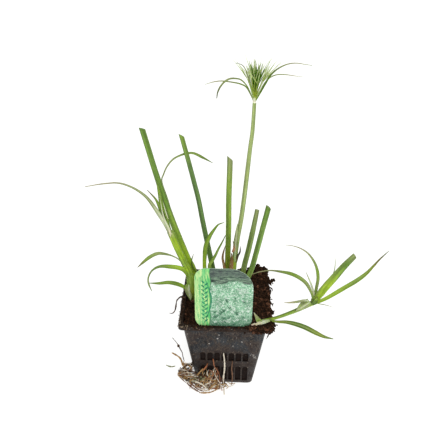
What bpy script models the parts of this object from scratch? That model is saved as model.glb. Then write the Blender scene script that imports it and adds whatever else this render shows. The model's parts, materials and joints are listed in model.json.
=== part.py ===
"""Potted papyrus: a square pond pot of peat with cut culms, one tuft, two leafy side shoots and roots.

All sizes and places in this file are millimetres; MM turns them into Blender's metres. The origin is the
centre of the pot's underside, +Z is up and the label faces -Y.
"""

import math

import bmesh
import bpy
from mathutils import Matrix, Vector, noise

MM = 0.001
UP = Vector((0, 0, 1))

# Driving dimensions
RIM_WIDTH = 90.0            # outside of the folded rim, across the flats
POT_HEIGHT = 97.0
BASE_WIDTH = 61.0           # outside of the pot's underside
GAP = 0.3                   # clearance between pieces that touch

# Pot
WALL = 1.0
RIM_OVERHANG = 3.0          # how far the fold stands out from the wall
RIM_DROP = 4.0              # depth of the fold's skirt
CORNER_AT_BASE = 5.0
CORNER_AT_RIM = 5.0
CORNER_OF_FOLD = 4.0
CORNER_STEPS = 3
SLOT_COLUMNS = 7
SLOT_PITCH = 7.3
SLOT_WIDTH = 5.6
LOWER_SLOTS = (7.0, 32.0)   # bottom and crown of the lower row
UPPER_SLOTS = (41.0, 55.0)
DRAIN_RADIUS = 3.5
DRAIN_OFFSET = 14.0         # keeps the middle of the underside whole

# Peat
SOIL_LEVEL = 92.0
SOIL_RISE = 7.5             # how much higher it is heaped at the right
RISE_FROM = 5.0             # where the heap starts, and how wide its slope is
RISE_WIDTH = 30.0
SOIL_ROUGHNESS = 1.6
LUMPS = 0.11                # how many lumps and crumbs there are to a millimetre
CRUMBS = 0.27
SOIL_CELLS = 14
SPILL = 6.5                 # how far it lies out over the rim at the right
SPILL_REACH = 43.0
SPILL_SLOPE = 1.2
SPILL_WAVES = 3.0           # how unevenly its edge runs
AIR_HEIGHT = 30.0           # how far the cutter that shapes the top reaches above the pot
BURIED = 76.0               # height at which the buried ends of the culms stop

# Label
LABEL_WIDTH = 55.0
LABEL_HEIGHT = 65.0
LABEL_THICKNESS = 0.6
LABEL_LEAN = math.radians(4)
LABEL_FOOT = Vector((-1.4, -39.2, 96.0))
STAKE_WIDTH = 14.0
STAKE_LENGTH = 34.0
STAKE_SLOPE = 0.2           # the stake follows the wall's taper

# Leaves
LEAF_THICKNESS = 0.6
LEAF_FOLD = 0.35            # depth of the V section as a share of half the width
FACE_VIEWER = Vector((0, -0.6, 0.8))    # most blades turn their upper side up and forwards
FACE_FRONT = Vector((0, -1, 0.25))      # the upright ones turn it forwards

# Colours, linear, and roughness
POT_BLACK = ((0.018, 0.018, 0.020), 0.45)
PEAT = ((0.020, 0.011, 0.007), 0.95)
LABEL_GREEN = ((0.30, 0.72, 0.45), 0.35)
CULM_GREEN = ((0.13, 0.30, 0.05), 0.5)
CULM_DARK = ((0.07, 0.19, 0.05), 0.5)
LEAF_GREEN = ((0.17, 0.32, 0.06), 0.55)
LEAF_BRIGHT = ((0.27, 0.45, 0.05), 0.5)
PALE_SHEATH = ((0.55, 0.60, 0.34), 0.6)
DRY_BROWN = ((0.30, 0.16, 0.07), 0.8)
ROOT_TAN = ((0.36, 0.22, 0.11), 0.85)
ROOT_PALE = ((0.62, 0.52, 0.38), 0.8)
ROOT_DARK = ((0.05, 0.03, 0.02), 0.9)

for leftover in list(bpy.data.objects):
    bpy.data.objects.remove(leftover, do_unlink=True)

plant = bpy.data.collections.new("potted_papyrus_plant")
bpy.context.scene.collection.children.link(plant)
cutters = bpy.data.collections.new("cutters")
bpy.context.scene.collection.children.link(cutters)


# ---------------------------------------------------------------- helpers

def material(name, finish):
    colour, roughness = finish
    made = bpy.data.materials.new(name)
    made.use_nodes = True
    shader = made.node_tree.nodes["Principled BSDF"]
    shader.inputs["Base Color"].default_value = (*colour, 1)
    shader.inputs["Roughness"].default_value = roughness
    shader.inputs["Metallic"].default_value = 0
    return made


def add_object(name, data, finish=None, collection=plant):
    made = bpy.data.objects.new(name, data)
    collection.objects.link(made)
    if finish:
        data.materials.append(material(name, finish))
    else:
        made.hide_render = True
        made.display_type = "WIRE"
    return made


def mesh_from(bm, name):
    """Turn a bmesh in millimetres into a mesh in metres with its faces pointing out."""
    bmesh.ops.recalc_face_normals(bm, faces=bm.faces)
    bmesh.ops.scale(bm, vec=(MM, MM, MM), verts=bm.verts)
    mesh = bpy.data.meshes.new(name)
    bm.to_mesh(mesh)
    bm.free()
    return mesh


def modifier(target, kind, **settings):
    made = target.modifiers.new(kind.title(), kind)
    for key, value in settings.items():
        setattr(made, key, value)
    return made


def boolean(target, operation, other, solver="EXACT"):
    modifier(target, "BOOLEAN", operation=operation, object=other, solver=solver)


def boolean_group(target, operation, name, members, solver="EXACT"):
    """Cut or join with every member at once, through a collection of their own."""
    group = bpy.data.collections.new(name)
    cutters.children.link(group)
    for member in members:
        cutters.objects.unlink(member)
        group.objects.link(member)
    modifier(target, "BOOLEAN", operation=operation, operand_type="COLLECTION", collection=group,
             solver=solver)


def route(points, count):
    """Evenly spaced points along a smooth curve through the given ones."""
    through = [Vector(p) for p in points]
    padded = [through[0] * 2 - through[1]] + through + [through[-1] * 2 - through[-2]]
    dense = []
    for k in range(len(through) - 1):
        a, b, c, d = padded[k:k + 4]
        for step in range(16):
            t = step / 16
            dense.append(0.5 * (2 * b + (c - a) * t + (2 * a - 5 * b + 4 * c - d) * t * t
                                + (3 * b - a - 3 * c + d) * t ** 3))
    dense.append(through[-1])
    run = [0.0]
    for p, q in zip(dense, dense[1:]):
        run.append(run[-1] + (q - p).length)
    even = []
    k = 0
    for i in range(count):
        goal = run[-1] * i / (count - 1)
        while k < len(run) - 2 and run[k + 1] < goal:
            k += 1
        even.append(dense[k].lerp(dense[k + 1], (goal - run[k]) / (run[k + 1] - run[k])))
    return even


def heading(path, i):
    return (path[min(i + 1, len(path) - 1)] - path[max(i - 1, 0)]).normalized()


def tube(name, finish, path, radii, bevel_object=None, sides=2):
    """A curve object along the path, with one radius for each of its points."""
    curve = bpy.data.curves.new(name, "CURVE")
    curve.dimensions = "3D"
    curve.twist_mode = "MINIMUM"
    curve.use_fill_caps = True
    if bevel_object:
        curve.bevel_mode = "OBJECT"
        curve.bevel_object = bevel_object
    else:
        curve.bevel_depth = MM
        curve.bevel_resolution = sides
    spline = curve.splines.new("POLY")
    spline.points.add(len(path) - 1)
    for point, place, radius in zip(spline.points, path, radii):
        point.co = (*(place * MM), 1)
        point.radius = radius
    return add_object(name, curve, finish, plant if finish else cutters)


def meshed(curve_object):
    """Swap a curve object for the closed mesh that it draws."""
    name = curve_object.name
    collection = curve_object.users_collection[0]
    bpy.context.view_layer.update()
    evaluated = curve_object.evaluated_get(bpy.context.evaluated_depsgraph_get())
    mesh = bpy.data.meshes.new_from_object(evaluated)
    bm = bmesh.new()
    bm.from_mesh(mesh)
    bmesh.ops.remove_doubles(bm, verts=bm.verts, dist=1e-6)
    bmesh.ops.recalc_face_normals(bm, faces=bm.faces)
    bm.to_mesh(mesh)
    bm.free()
    made = bpy.data.objects.new(name, mesh)
    made.hide_render = curve_object.hide_render
    made.display_type = curve_object.display_type
    bpy.data.objects.remove(curve_object, do_unlink=True)
    made.name = name
    collection.objects.link(made)
    return made


def clearance(solid):
    """A hidden copy of a solid that is a gap larger all round, to cut room for it out of its neighbours."""
    name = solid.name + "_clearance"
    if name in bpy.data.objects:
        return bpy.data.objects[name]
    grown = solid.copy()
    grown.data = solid.data.copy()
    grown.name = name
    grown.hide_render = True
    grown.display_type = "WIRE"
    cutters.objects.link(grown)
    modifier(grown, "DISPLACE", strength=GAP * 1.3 * MM, mid_level=0)
    return grown


def blade(name, finish, width, points, face=FACE_VIEWER, base=0.5, fold=LEAF_FOLD, rings=11, clear_of=()):
    """A leaf: a grid bent along its route, V-shaped across, with a narrow base and a pointed tip.

    face is the side that its upper surface turns to; the leaf is cut back to a gap from each clear_of solid.
    """
    path = route(points, rings)
    bm = bmesh.new()
    bmesh.ops.create_grid(bm, x_segments=2, y_segments=rings - 1, size=1)
    bm.verts.ensure_lookup_table()
    for i, place in enumerate(path):
        along = i / (rings - 1)
        ahead = heading(path, i)
        side = ahead.cross(face).normalized()
        rise = side.cross(ahead)
        opening = base + (1 - base) * min(along / 0.3, 1)
        closing = 1 - max((along - 0.3) / 0.7, 0) ** 2.4
        half = max(width / 2 * opening * closing, 0.3)
        for column in (-1, 0, 1):
            lift = fold * half * abs(column)
            bm.verts[i * 3 + column + 1].co = place + side * half * column + rise * lift
    leaf = add_object(name, mesh_from(bm, name), finish)
    modifier(leaf, "SOLIDIFY", thickness=LEAF_THICKNESS * MM, offset=0, use_rim=True)
    for solid in clear_of:
        boolean(leaf, "DIFFERENCE", clearance(solid), solver="MANIFOLD")
    return leaf


def rounded_square(half, corner, height):
    """The points of a square with rounded corners, anticlockwise seen from above."""
    ring = []
    for quarter in range(4):
        turn = quarter * math.pi / 2
        centre = Vector((half - corner, half - corner, 0))
        for step in range(CORNER_STEPS + 1):
            angle = step / CORNER_STEPS * math.pi / 2
            point = centre + Vector((math.cos(angle), math.sin(angle), 0)) * corner
            point.rotate(Matrix.Rotation(turn, 3, "Z"))
            ring.append(point + UP * height)
    return ring


def loft(bm, rings):
    """Skin a list of rings that have equally many points; return the rings of vertices."""
    made = [[bm.verts.new(point) for point in ring] for ring in rings]
    for low, high in zip(made, made[1:]):
        for i in range(len(low)):
            j = (i + 1) % len(low)
            bm.faces.new((low[i], low[j], high[j], high[i]))
    return made


def wall_half(height):
    """Half the outside width of the tapered wall at a height."""
    top = RIM_WIDTH / 2 - RIM_OVERHANG
    return BASE_WIDTH / 2 + (top - BASE_WIDTH / 2) * height / POT_HEIGHT


def wall_corner(height):
    return CORNER_AT_BASE + (CORNER_AT_RIM - CORNER_AT_BASE) * height / POT_HEIGHT


# ---------------------------------------------------------------- pot

def slot_cutter(name, column, row, turn):
    """An arch-topped bar through both opposite walls."""
    bottom, crown = row
    half = SLOT_WIDTH / 2
    spring = crown - half
    outline = [(-half, bottom), (half, bottom)]
    for step in range(5):
        angle = step / 4 * math.pi
        outline.append((half * math.cos(angle), spring + half * math.sin(angle)))
    bm = bmesh.new()
    reach = RIM_WIDTH
    front = bm.faces.new([bm.verts.new((x + column * SLOT_PITCH, -reach, z)) for x, z in outline])
    swept = bmesh.ops.extrude_face_region(bm, geom=[front])
    moved = [item for item in swept["geom"] if isinstance(item, bmesh.types.BMVert)]
    bmesh.ops.translate(bm, vec=(0, 2 * reach, 0), verts=moved)
    bmesh.ops.rotate(bm, matrix=Matrix.Rotation(turn, 3, "Z"), verts=bm.verts)
    return add_object(name, mesh_from(bm, name), collection=cutters)


def drain_cutters():
    holes = []
    for x in (-DRAIN_OFFSET, DRAIN_OFFSET):
        for y in (-DRAIN_OFFSET, DRAIN_OFFSET):
            bm = bmesh.new()
            bmesh.ops.create_cone(bm, cap_ends=True, segments=8, radius1=DRAIN_RADIUS, radius2=DRAIN_RADIUS,
                                  depth=8, matrix=Matrix.Translation((x, y, 0)))
            holes.append(add_object("drain_hole", mesh_from(bm, "drain_hole"), collection=cutters))
    return holes


def build_pot():
    rim = RIM_WIDTH / 2
    inner = BASE_WIDTH / 2 - WALL
    levels = [(inner - 1.0, CORNER_AT_BASE - 1, WALL)]
    levels.append((wall_half(3.0) - WALL, wall_corner(3.0) - WALL, 3.0))
    levels.append((wall_half(POT_HEIGHT) - WALL, CORNER_AT_RIM, POT_HEIGHT))
    levels.append((rim - 0.6, CORNER_OF_FOLD - 0.6, POT_HEIGHT))
    levels.append((rim, CORNER_OF_FOLD, POT_HEIGHT - 0.8))
    levels.append((rim, CORNER_OF_FOLD, POT_HEIGHT - RIM_DROP))
    bm = bmesh.new()
    rings = loft(bm, [rounded_square(*level) for level in levels])
    bm.faces.new(rings[0])
    pot = add_object("pot", mesh_from(bm, "pot"), POT_BLACK)
    modifier(pot, "SOLIDIFY", thickness=WALL * MM, offset=-1, use_even_offset=True, use_rim=True)
    middle = (SLOT_COLUMNS - 1) / 2
    for label, turn in (("front_slots", 0), ("side_slots", math.pi / 2)):
        bars = []
        for row in (LOWER_SLOTS, UPPER_SLOTS):
            bars += [slot_cutter("slot", i - middle, row, turn) for i in range(SLOT_COLUMNS)]
        boolean_group(pot, "DIFFERENCE", label, bars)
    boolean_group(pot, "DIFFERENCE", "drain_holes", drain_cutters())
    return pot


# ---------------------------------------------------------------- culms and side stems

def triangle_profile():
    """The section of a culm: a triangle with rounded corners, one millimetre in radius."""
    curve = bpy.data.curves.new("culm_section", "CURVE")
    curve.dimensions = "2D"
    spline = curve.splines.new("POLY")
    spline.use_cyclic_u = True
    sides = 9
    spline.points.add(sides - 1)
    for i, point in enumerate(spline.points):
        angle = 2 * math.pi * i / sides
        reach = MM * (1 + 0.12 * math.cos(3 * angle))
        point.co = (reach * math.cos(angle), reach * math.sin(angle), 0, 1)
    return add_object("culm_section", curve, collection=cutters)


def culm(name, finish, points, foot, top, rings=7, cut=None):
    """A culm whose radius runs from foot to top; cut is the slope of its cut end, across X."""
    path = route(points, rings)
    radii = [foot + (top - foot) * i / (rings - 1) for i in range(rings)]
    if cut is not None:
        end = path[-1].copy()
        path[-1] = end + heading(path, rings - 1) * top * 2
    stalk = meshed(tube(name, finish, path, radii, bevel_object=CULM_SECTION))
    if cut is not None:
        bm = bmesh.new()
        bm.from_mesh(stalk.data)
        slope = Vector((-cut, 0, 1))
        sliced = bmesh.ops.bisect_plane(bm, geom=bm.verts[:] + bm.edges[:] + bm.faces[:], dist=1e-6,
                                        plane_co=end * MM, plane_no=slope, clear_outer=True)
        rim = [item for item in sliced["geom_cut"] if isinstance(item, bmesh.types.BMEdge)]
        bmesh.ops.holes_fill(bm, edges=rim, sides=0)
        bmesh.ops.recalc_face_normals(bm, faces=bm.faces)
        bm.to_mesh(stalk.data)
        bm.free()
    return stalk


def build_culms():
    stalks = []
    stalks.append(culm("culm_tall_left", CULM_GREEN,
                       [(-27, 9, BURIED), (-35, 8, 124), (-47, 7, 163), (-58, 6, 208), (-73, 4, 277)],
                       3.6, 2.6, cut=-0.7))
    stalks.append(culm("culm_second_left", CULM_DARK,
                       [(-7, 14, BURIED), (-15, 16, 122), (-29, 20, 200), (-42, 24, 264)],
                       2.7, 2.0, cut=-0.5))
    stalks.append(culm("culm_middle", CULM_GREEN,
                       [(2, 20, BURIED), (2, 19, 120), (2, 14, 247)], 2.9, 2.0, cut=0.8))
    stalks.append(culm("culm_umbel", LEAF_GREEN,
                       [(4.4, 7, BURIED), (7.6, 6, 150), (12.6, 6, 204), (18.5, 5, 259), (22, 4, 301)],
                       2.7, 1.5, rings=9))
    stalks.append(culm("culm_short_inner", CULM_DARK,
                       [(14, 16, BURIED), (20, 18, 120), (28, 20, 191)], 2.9, 2.1, cut=0.2))
    stalks.append(culm("culm_short_outer", CULM_GREEN,
                       [(21, 14, BURIED), (28, 14, 121), (39, 14, 198)], 2.3, 2.1, cut=0.4))
    return stalks


def build_side_stems():
    left = culm("left_shoot_stem", LEAF_GREEN,
                [(-33, 2, BURIED), (-36.5, 2, 100), (-37, 1, 118), (-40, -1, 137), (-47, -2, 158),
                 (-52, -2, 173)], 3.0, 2.8, rings=9)
    right = culm("right_shoot_stem", LEAF_GREEN,
                 [(24, -34, 87), (27.5, -35, 92), (33, -36, 98.5), (44, -33, 101), (58, -31, 105),
                  (70, -30, 111), (84, -28.5, 120.5)], 1.9, 2.7, rings=11)
    cut = culm("right_shoot_culm", LEAF_BRIGHT,
               [(84, -28.5, 120.5), (97, -24, 141), (107, -21, 155), (118, -18, 167)],
               2.2, 2.8, rings=6, cut=-1.2)
    boolean(cut, "DIFFERENCE", clearance(right), solver="MANIFOLD")
    return left, right, cut


# ---------------------------------------------------------------- leaves

def build_left_leaves(stem, culm_beside):
    """The leaves at the side stem's tip, the arched one behind the tall culm, and those at the foot."""
    blade("left_leaf_long", LEAF_GREEN, 3.4,
          [(-53.5, -3.5, 171), (-56.5, -5, 185), (-61, -6, 200), (-69, -7, 214), (-76, -9, 225),
           (-84, -10, 232), (-92, -11, 236), (-101, -12, 236), (-124, -12, 231)], rings=12, clear_of=[stem])
    blade("left_leaf_dark", CULM_DARK, 3.0,
          [(-54.3, -1.5, 171), (-57.5, -3.2, 190), (-60.5, -4, 205), (-64, -5, 217), (-70, -6, 226)],
          rings=9, clear_of=[stem])
    blade("left_leaf_upright", LEAF_BRIGHT, 4.6,
          [(-51, 0.4, 171), (-55, 0.4, 190), (-59, 0.2, 207), (-62, -0.5, 221), (-63, -1, 233)],
          face=FACE_FRONT, rings=9, clear_of=[stem, culm_beside])
    blade("left_leaf_pale", PALE_SHEATH, 3.0,
          [(-50.8, -3.8, 171), (-53.5, -6, 185), (-56, -8, 198), (-59, -9, 212)],
          face=FACE_FRONT, rings=6, clear_of=[stem])
    blade("left_leaf_arched", LEAF_GREEN, 3.0,
          [(-49, 9, 170), (-56, 13, 203), (-60, 15, 221), (-60, 16, 231), (-55, 18, 240), (-48, 22, 244),
           (-36, 30, 244), (-24, 34, 240), (-14, 36, 233)],
          face=FACE_FRONT, rings=13, clear_of=[culm_beside])
    blade("left_base_leaf_upper", LEAF_GREEN, 3.6,
          [(-38.5, 1, 126), (-46, 0, 139), (-53, -3, 151), (-63, -8, 158), (-72, -11, 155), (-85, -14, 144)],
          rings=12, base=0.3, clear_of=[stem])
    blade("left_base_leaf_middle", LEAF_BRIGHT, 3.8,
          [(-37, 0, 119), (-43, -5, 134), (-51, -8, 141), (-60, -11, 145), (-69, -15, 144), (-74, -17, 136),
           (-73, -19, 120)], rings=12, clear_of=[stem])
    blade("left_base_leaf_lower", LEAF_GREEN, 3.6,
          [(-37, 1.5, 103), (-42, -0.5, 110), (-47, -4, 116), (-55, -11, 121), (-64, -16, 124),
           (-74, -20, 125)], rings=10, clear_of=[stem])
    blade("left_base_sheath", PALE_SHEATH, 7.0,
          [(-35.5, -2.6, 108), (-36.5, -3.2, 101), (-36, -5.2, 95.5)],
          face=FACE_FRONT, rings=5, fold=-0.5, base=0.8, clear_of=[stem])


def build_middle_leaves(second, middle, umbel):
    blade("middle_leaf_left", LEAF_BRIGHT, 3.8,
          [(-20, 9, 92.5), (-22, 8, 125), (-21, 6, 153), (-17, 4, 167), (-11, 3, 180), (-3, 3, 188)],
          face=FACE_FRONT, rings=10)
    blade("middle_leaf_right", LEAF_BRIGHT, 3.4,
          [(-12, 12, 94.2), (-17, 9, 125), (-11, 13, 139), (-5, 20, 152), (0, 25, 162)],
          face=FACE_FRONT, rings=9, clear_of=[second])
    blade("dry_strip", DRY_BROWN, 2.2,
          [(1, 18, 97), (-2.5, 17, 125), (-5, 19, 134), (-2.2, 18, 147)],
          face=FACE_FRONT, rings=8, clear_of=[middle])
    blade("umbel_foot_sheath", DRY_BROWN, 5.0,
          [(3.8, 3.4, 97), (5.0, 2.8, 125), (6.4, 2.7, 142)],
          face=FACE_FRONT, rings=5, fold=-0.5, base=0.9, clear_of=[umbel])


def build_right_leaves(stem, cut):
    """The fan of leaves round the right shoot's node, and those lower on its stem."""
    fan = [stem, cut]
    blade("right_leaf_long", LEAF_BRIGHT, 4.6,
          [(83, -30, 119), (90, -32.5, 124.5), (97, -33, 132), (106, -34, 140), (115, -35, 148),
           (122, -36, 157), (128, -37, 167), (140, -37, 188)], rings=11, clear_of=fan)
    blade("right_leaf_arched", LEAF_GREEN, 3.6,
          [(83.5, -27, 120), (86.5, -22, 128), (87, -20, 137), (87, -18, 145), (84, -15, 154),
           (79, -13, 161), (74, -12, 165), (68, -10, 168), (57, -7, 168)],
          face=FACE_FRONT, rings=13, clear_of=fan)
    blade("right_leaf_over_pot", LEAF_GREEN, 3.2,
          [(82.5, -29.5, 120), (81, -29, 127), (80, -28, 133), (76, -26, 139), (70, -23, 142),
           (55, -15, 144), (40, -1, 134), (28, 8, 119)], rings=13, clear_of=fan)
    blade("right_leaf_short", PALE_SHEATH, 2.2,
          [(82, -27, 120), (82.5, -24, 127), (81.5, -20, 135), (76, -14, 143)],
          face=FACE_FRONT, rings=7, clear_of=fan)
    blade("right_leaf_low", LEAF_GREEN, 3.0,
          [(79, -29.5, 117), (76, -34, 123), (70, -37, 127), (63, -40, 129), (54, -44, 131)],
          rings=7, clear_of=[stem])
    blade("right_leaf_thin", LEAF_GREEN, 2.0,
          [(84, -27.5, 118.5), (90, -21.5, 123), (96, -18, 127), (100, -16, 133), (103, -14, 140)],
          rings=7, clear_of=fan)
    blade("right_leaf_small", PALE_SHEATH, 2.0,
          [(83, -28.5, 119), (86, -32, 117.5), (93, -36.5, 120), (102, -41, 123)], rings=6, clear_of=[stem])
    blade("right_leaf_bottom", LEAF_BRIGHT, 4.4,
          [(44, -33, 101), (47, -39, 104), (55, -43.5, 108), (63, -47, 110), (72, -51, 110), (81, -54, 107),
           (91, -56, 103), (100, -58, 102)], rings=11, clear_of=[stem])
    blade("right_shoot_sheath", PALE_SHEATH, 4.6,
          [(69, -33.6, 111), (75, -33.4, 115.5), (80, -33, 118.4)],
          face=FACE_FRONT, rings=5, fold=-0.45, base=0.7, clear_of=[stem])
    blade("right_foot_bract", PALE_SHEATH, 3.4,
          [(33, -36.5, 100), (32, -38.4, 103), (30, -38.2, 105.5), (28, -37, 110)],
          face=FACE_FRONT, rings=6, clear_of=[stem])


# ---------------------------------------------------------------- tuft

NECK = Vector((22, 4, 302))
CUP = (1.6, 3.2, 8.0)       # radius at the neck, radius at the mouth, height
TUFT_RAYS = 17


def cup_mesh(name, grow=0.0):
    foot, mouth, height = CUP
    bm = bmesh.new()
    bmesh.ops.create_cone(bm, cap_ends=True, segments=9, radius1=foot + grow, radius2=mouth + grow,
                          depth=height + 2 * grow, matrix=Matrix.Translation(NECK + UP * height / 2))
    return mesh_from(bm, name)


def build_umbel():
    """The rays of the tuft, joined to the small cup that they spring from."""
    tuft = add_object("umbel_rays", cup_mesh("umbel_rays"), LEAF_GREEN)
    rays = []
    for i in range(TUFT_RAYS):
        turn = i * 2.4                                  # golden angle, so the rays spread evenly
        lean = 0.10 + 0.46 * math.sqrt((i + 0.5) / TUFT_RAYS)
        length = 31 - 9 * ((i * 7) % TUFT_RAYS) / TUFT_RAYS
        outward = Vector((math.cos(turn), math.sin(turn), 0))
        start = NECK + UP * 5 + outward * 1.2
        middle = start + (UP * math.cos(lean * 0.7) + outward * math.sin(lean * 0.7)) * length * 0.5
        tip = start + (UP * math.cos(lean) + outward * math.sin(lean)) * length
        path = route([start, middle, tip], 4)
        rays.append(meshed(tube("ray", None, path, [0.9, 0.85, 0.65, 0.35], sides=0)))
    boolean_group(tuft, "UNION", "rays", rays, solver="MANIFOLD")
    return tuft


def build_umbel_bracts(stalk):
    """The long thin leaves below the rays; their bases are cut back to a gap round the cup."""
    room = add_object("cup", cup_mesh("cup", GAP), collection=cutters)
    bracts = []
    bracts.append(blade("umbel_bract_left_long", LEAF_GREEN, 2.4,
                        [(21, 5, 303), (16, 10, 310), (11, 14, 313), (4, 17, 314), (-9, 22, 313),
                         (-21, 25, 309)], rings=10))
    bracts.append(blade("umbel_bract_left_arched", LEAF_GREEN, 2.6,
                        [(20.5, 3.5, 303), (16, 2, 312), (12, 1, 318), (7, 1, 321), (2, 0, 321),
                         (-5, -2, 317), (-10, -4, 306)], rings=11))
    bracts.append(blade("umbel_bract_left_top", LEAF_GREEN, 2.0,
                        [(21, 2.5, 303), (17, -3, 312), (14, -6, 324), (5, -9, 333)],
                        face=FACE_FRONT, rings=8))
    bracts.append(blade("umbel_bract_right_long", LEAF_GREEN, 2.4,
                        [(23.5, 3, 303), (28, 0, 311), (32, -3, 321), (37, -6, 329), (46, -9, 335),
                         (61, -12, 335)], rings=11))
    bracts.append(blade("umbel_bract_right_low", LEAF_GREEN, 2.2,
                        [(23, 5, 303), (28, 10, 311), (33, 14, 317), (40, 18, 319), (62, 26, 316)],
                        rings=10))
    for bract in bracts:
        boolean(bract, "DIFFERENCE", room, solver="MANIFOLD")
        boolean(bract, "DIFFERENCE", clearance(stalk), solver="MANIFOLD")


# ---------------------------------------------------------------- label

def label_mesh(name, grow=0.0):
    """A plate with rounded corners, larger at the upper right, on a pointed stake that leans inwards."""
    half = LABEL_WIDTH / 2
    corners = [((half, 0), 9), ((half, LABEL_HEIGHT), 22), ((-half, LABEL_HEIGHT), 11), ((-half, 0), 9)]
    outline = []
    for quarter, ((x, z), radius) in enumerate(corners):
        centre = (x - math.copysign(radius, x), z + (radius if z == 0 else -radius))
        for step in range(5):
            angle = (quarter - 1 + step / 4) * math.pi / 2
            outline.append((centre[0] + radius * math.cos(angle), centre[1] + radius * math.sin(angle)))
    stake = STAKE_WIDTH / 2 + grow
    shoulder = -STAKE_LENGTH * 0.7
    outline += [(-stake, 0), (-stake, shoulder), (0, -STAKE_LENGTH - grow), (stake, shoulder), (stake, 0)]
    depth = LABEL_THICKNESS + 2 * grow
    bm = bmesh.new()
    plate = bm.faces.new([bm.verts.new((x, -depth / 2, z)) for x, z in outline])
    swept = bmesh.ops.extrude_face_region(bm, geom=[plate])
    moved = [item for item in swept["geom"] if isinstance(item, bmesh.types.BMVert)]
    bmesh.ops.translate(bm, vec=(0, depth, 0), verts=moved)
    bmesh.ops.bisect_plane(bm, geom=bm.verts[:] + bm.edges[:] + bm.faces[:], dist=1e-4,
                           plane_co=(0, 0, 0), plane_no=UP)
    for vert in bm.verts:
        vert.co.y -= STAKE_SLOPE * min(vert.co.z, 0)
    bmesh.ops.rotate(bm, matrix=Matrix.Rotation(-LABEL_LEAN, 3, "X"), verts=bm.verts)
    bmesh.ops.translate(bm, vec=LABEL_FOOT, verts=bm.verts)
    return mesh_from(bm, name)


def build_label():
    return add_object("plant_label", label_mesh("plant_label"), LABEL_GREEN)


# ---------------------------------------------------------------- peat

def soil_height(x, y):
    """The rough top: level at the left, heaped at the right, falling off again past the rim there."""
    rise = min(max((x - RISE_FROM) / RISE_WIDTH, 0), 1)
    bumps = noise.noise(Vector((x, y, 0)) * LUMPS) + 0.5 * noise.noise(Vector((x, y, 9)) * CRUMBS)
    waves = SPILL_WAVES * noise.noise(Vector((0, y, 5)) * 0.16)
    past_rim = max(x - SPILL_REACH + waves, -y - SPILL_REACH, 0)
    heap = SOIL_RISE * rise * rise * (3 - 2 * rise)
    return SOIL_LEVEL + heap + SOIL_ROUGHNESS * bumps - SPILL_SLOPE * past_rim


def soil_block():
    """The root ball: a gap inside the pot, and a ledge that lies a gap above the rim at the right."""
    inset = WALL + GAP
    top = wall_half(POT_HEIGHT) - inset
    ledge = POT_HEIGHT + GAP
    rings = [rounded_square(wall_half(WALL + GAP) - inset - 1.0, CORNER_AT_BASE - 1, WALL + GAP),
             rounded_square(wall_half(4) - inset, CORNER_AT_BASE, 4),
             rounded_square(top, CORNER_AT_RIM, ledge)]
    spread = [point.copy() for point in rings[-1]]
    for point in spread:
        if point.x > 0:
            point.x += SPILL
            point.y += math.copysign(SPILL, point.y)
    rings.append(spread)
    rings.append([point + UP * 12 for point in spread])
    bm = bmesh.new()
    made = loft(bm, rings)
    bm.faces.new(made[0])
    bm.faces.new(made[-1])
    return mesh_from(bm, "soil")


def air_above_soil():
    bm = bmesh.new()
    bmesh.ops.create_grid(bm, x_segments=SOIL_CELLS, y_segments=SOIL_CELLS, size=RIM_WIDTH * 0.6)
    for vert in bm.verts:
        vert.co.z = soil_height(vert.co.x, vert.co.y)
    swept = bmesh.ops.extrude_face_region(bm, geom=bm.faces[:])
    for item in swept["geom"]:
        if isinstance(item, bmesh.types.BMVert):
            item.co.z = POT_HEIGHT + AIR_HEIGHT
    return add_object("air", mesh_from(bm, "air"), collection=cutters)


def build_soil(stalks):
    """Peat with a rough top and room for what is stuck in it."""
    soil = add_object("soil", soil_block(), PEAT)
    boolean(soil, "DIFFERENCE", air_above_soil())
    boolean(soil, "DIFFERENCE", add_object("label_socket", label_mesh("label_socket", GAP + 0.1),
                                              collection=cutters), solver="MANIFOLD")
    for stalk in stalks:
        boolean(soil, "DIFFERENCE", clearance(stalk), solver="MANIFOLD")
    return soil


# ---------------------------------------------------------------- roots

def root(name, finish, points, thick, thin, rings=10):
    path = route(points, rings)
    radii = [thick + (thin - thick) * i / (rings - 1) for i in range(rings)]
    return tube(name, finish, path, radii, sides=1)


def at_soil(x, z):
    """A place just clear of the peat, inside a front slot."""
    return (x, -(wall_half(z) - GAP), z)


def build_roots():
    """Single roots that come out through the slots and hang or stand off."""
    root("root_white", ROOT_PALE,
         [at_soil(0, 50), (0.3, -37.6, 46), (0.6, -37, 36), (0.3, -36.5, 20), (0.5, -42, 3)], 0.7, 0.4)
    root("root_orange", ROOT_TAN,
         [at_soil(-14, 45), (-11.5, -37.2, 40), (-8, -36.6, 30), (-5, -36, 20), (-4, -37, 6)], 0.7, 0.5)
    root("root_red", ROOT_TAN,
         [at_soil(7.6, 46), (8.4, -37.2, 40), (8.8, -36, 26), (8.8, -35.4, 12)], 0.6, 0.4, rings=8)
    root("root_left", ROOT_TAN,
         [(-35.6, -15, 47), (-44, -24, 50), (-55, -29, 45), (-47, -30, 38), (-44, -31, 28), (-42, -33, 17)],
         0.9, 0.6, rings=14)
    root("root_dark", ROOT_DARK,
         [(-36.05, -7.3, 52), (-41, -10, 46), (-45, -14, 45), (-50, -17, 52), (-54, -19, 61)],
         0.7, 0.4, rings=10)
    root("root_top_left", ROOT_DARK,
         [(-41.5, -7, 97.8), (-45.4, -6.5, 98.0), (-49.5, -6, 96), (-51, -6, 91), (-54, -7, 83),
          (-58, -7, 78)], 0.5, 0.3, rings=10)
    build_root_mat()


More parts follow.
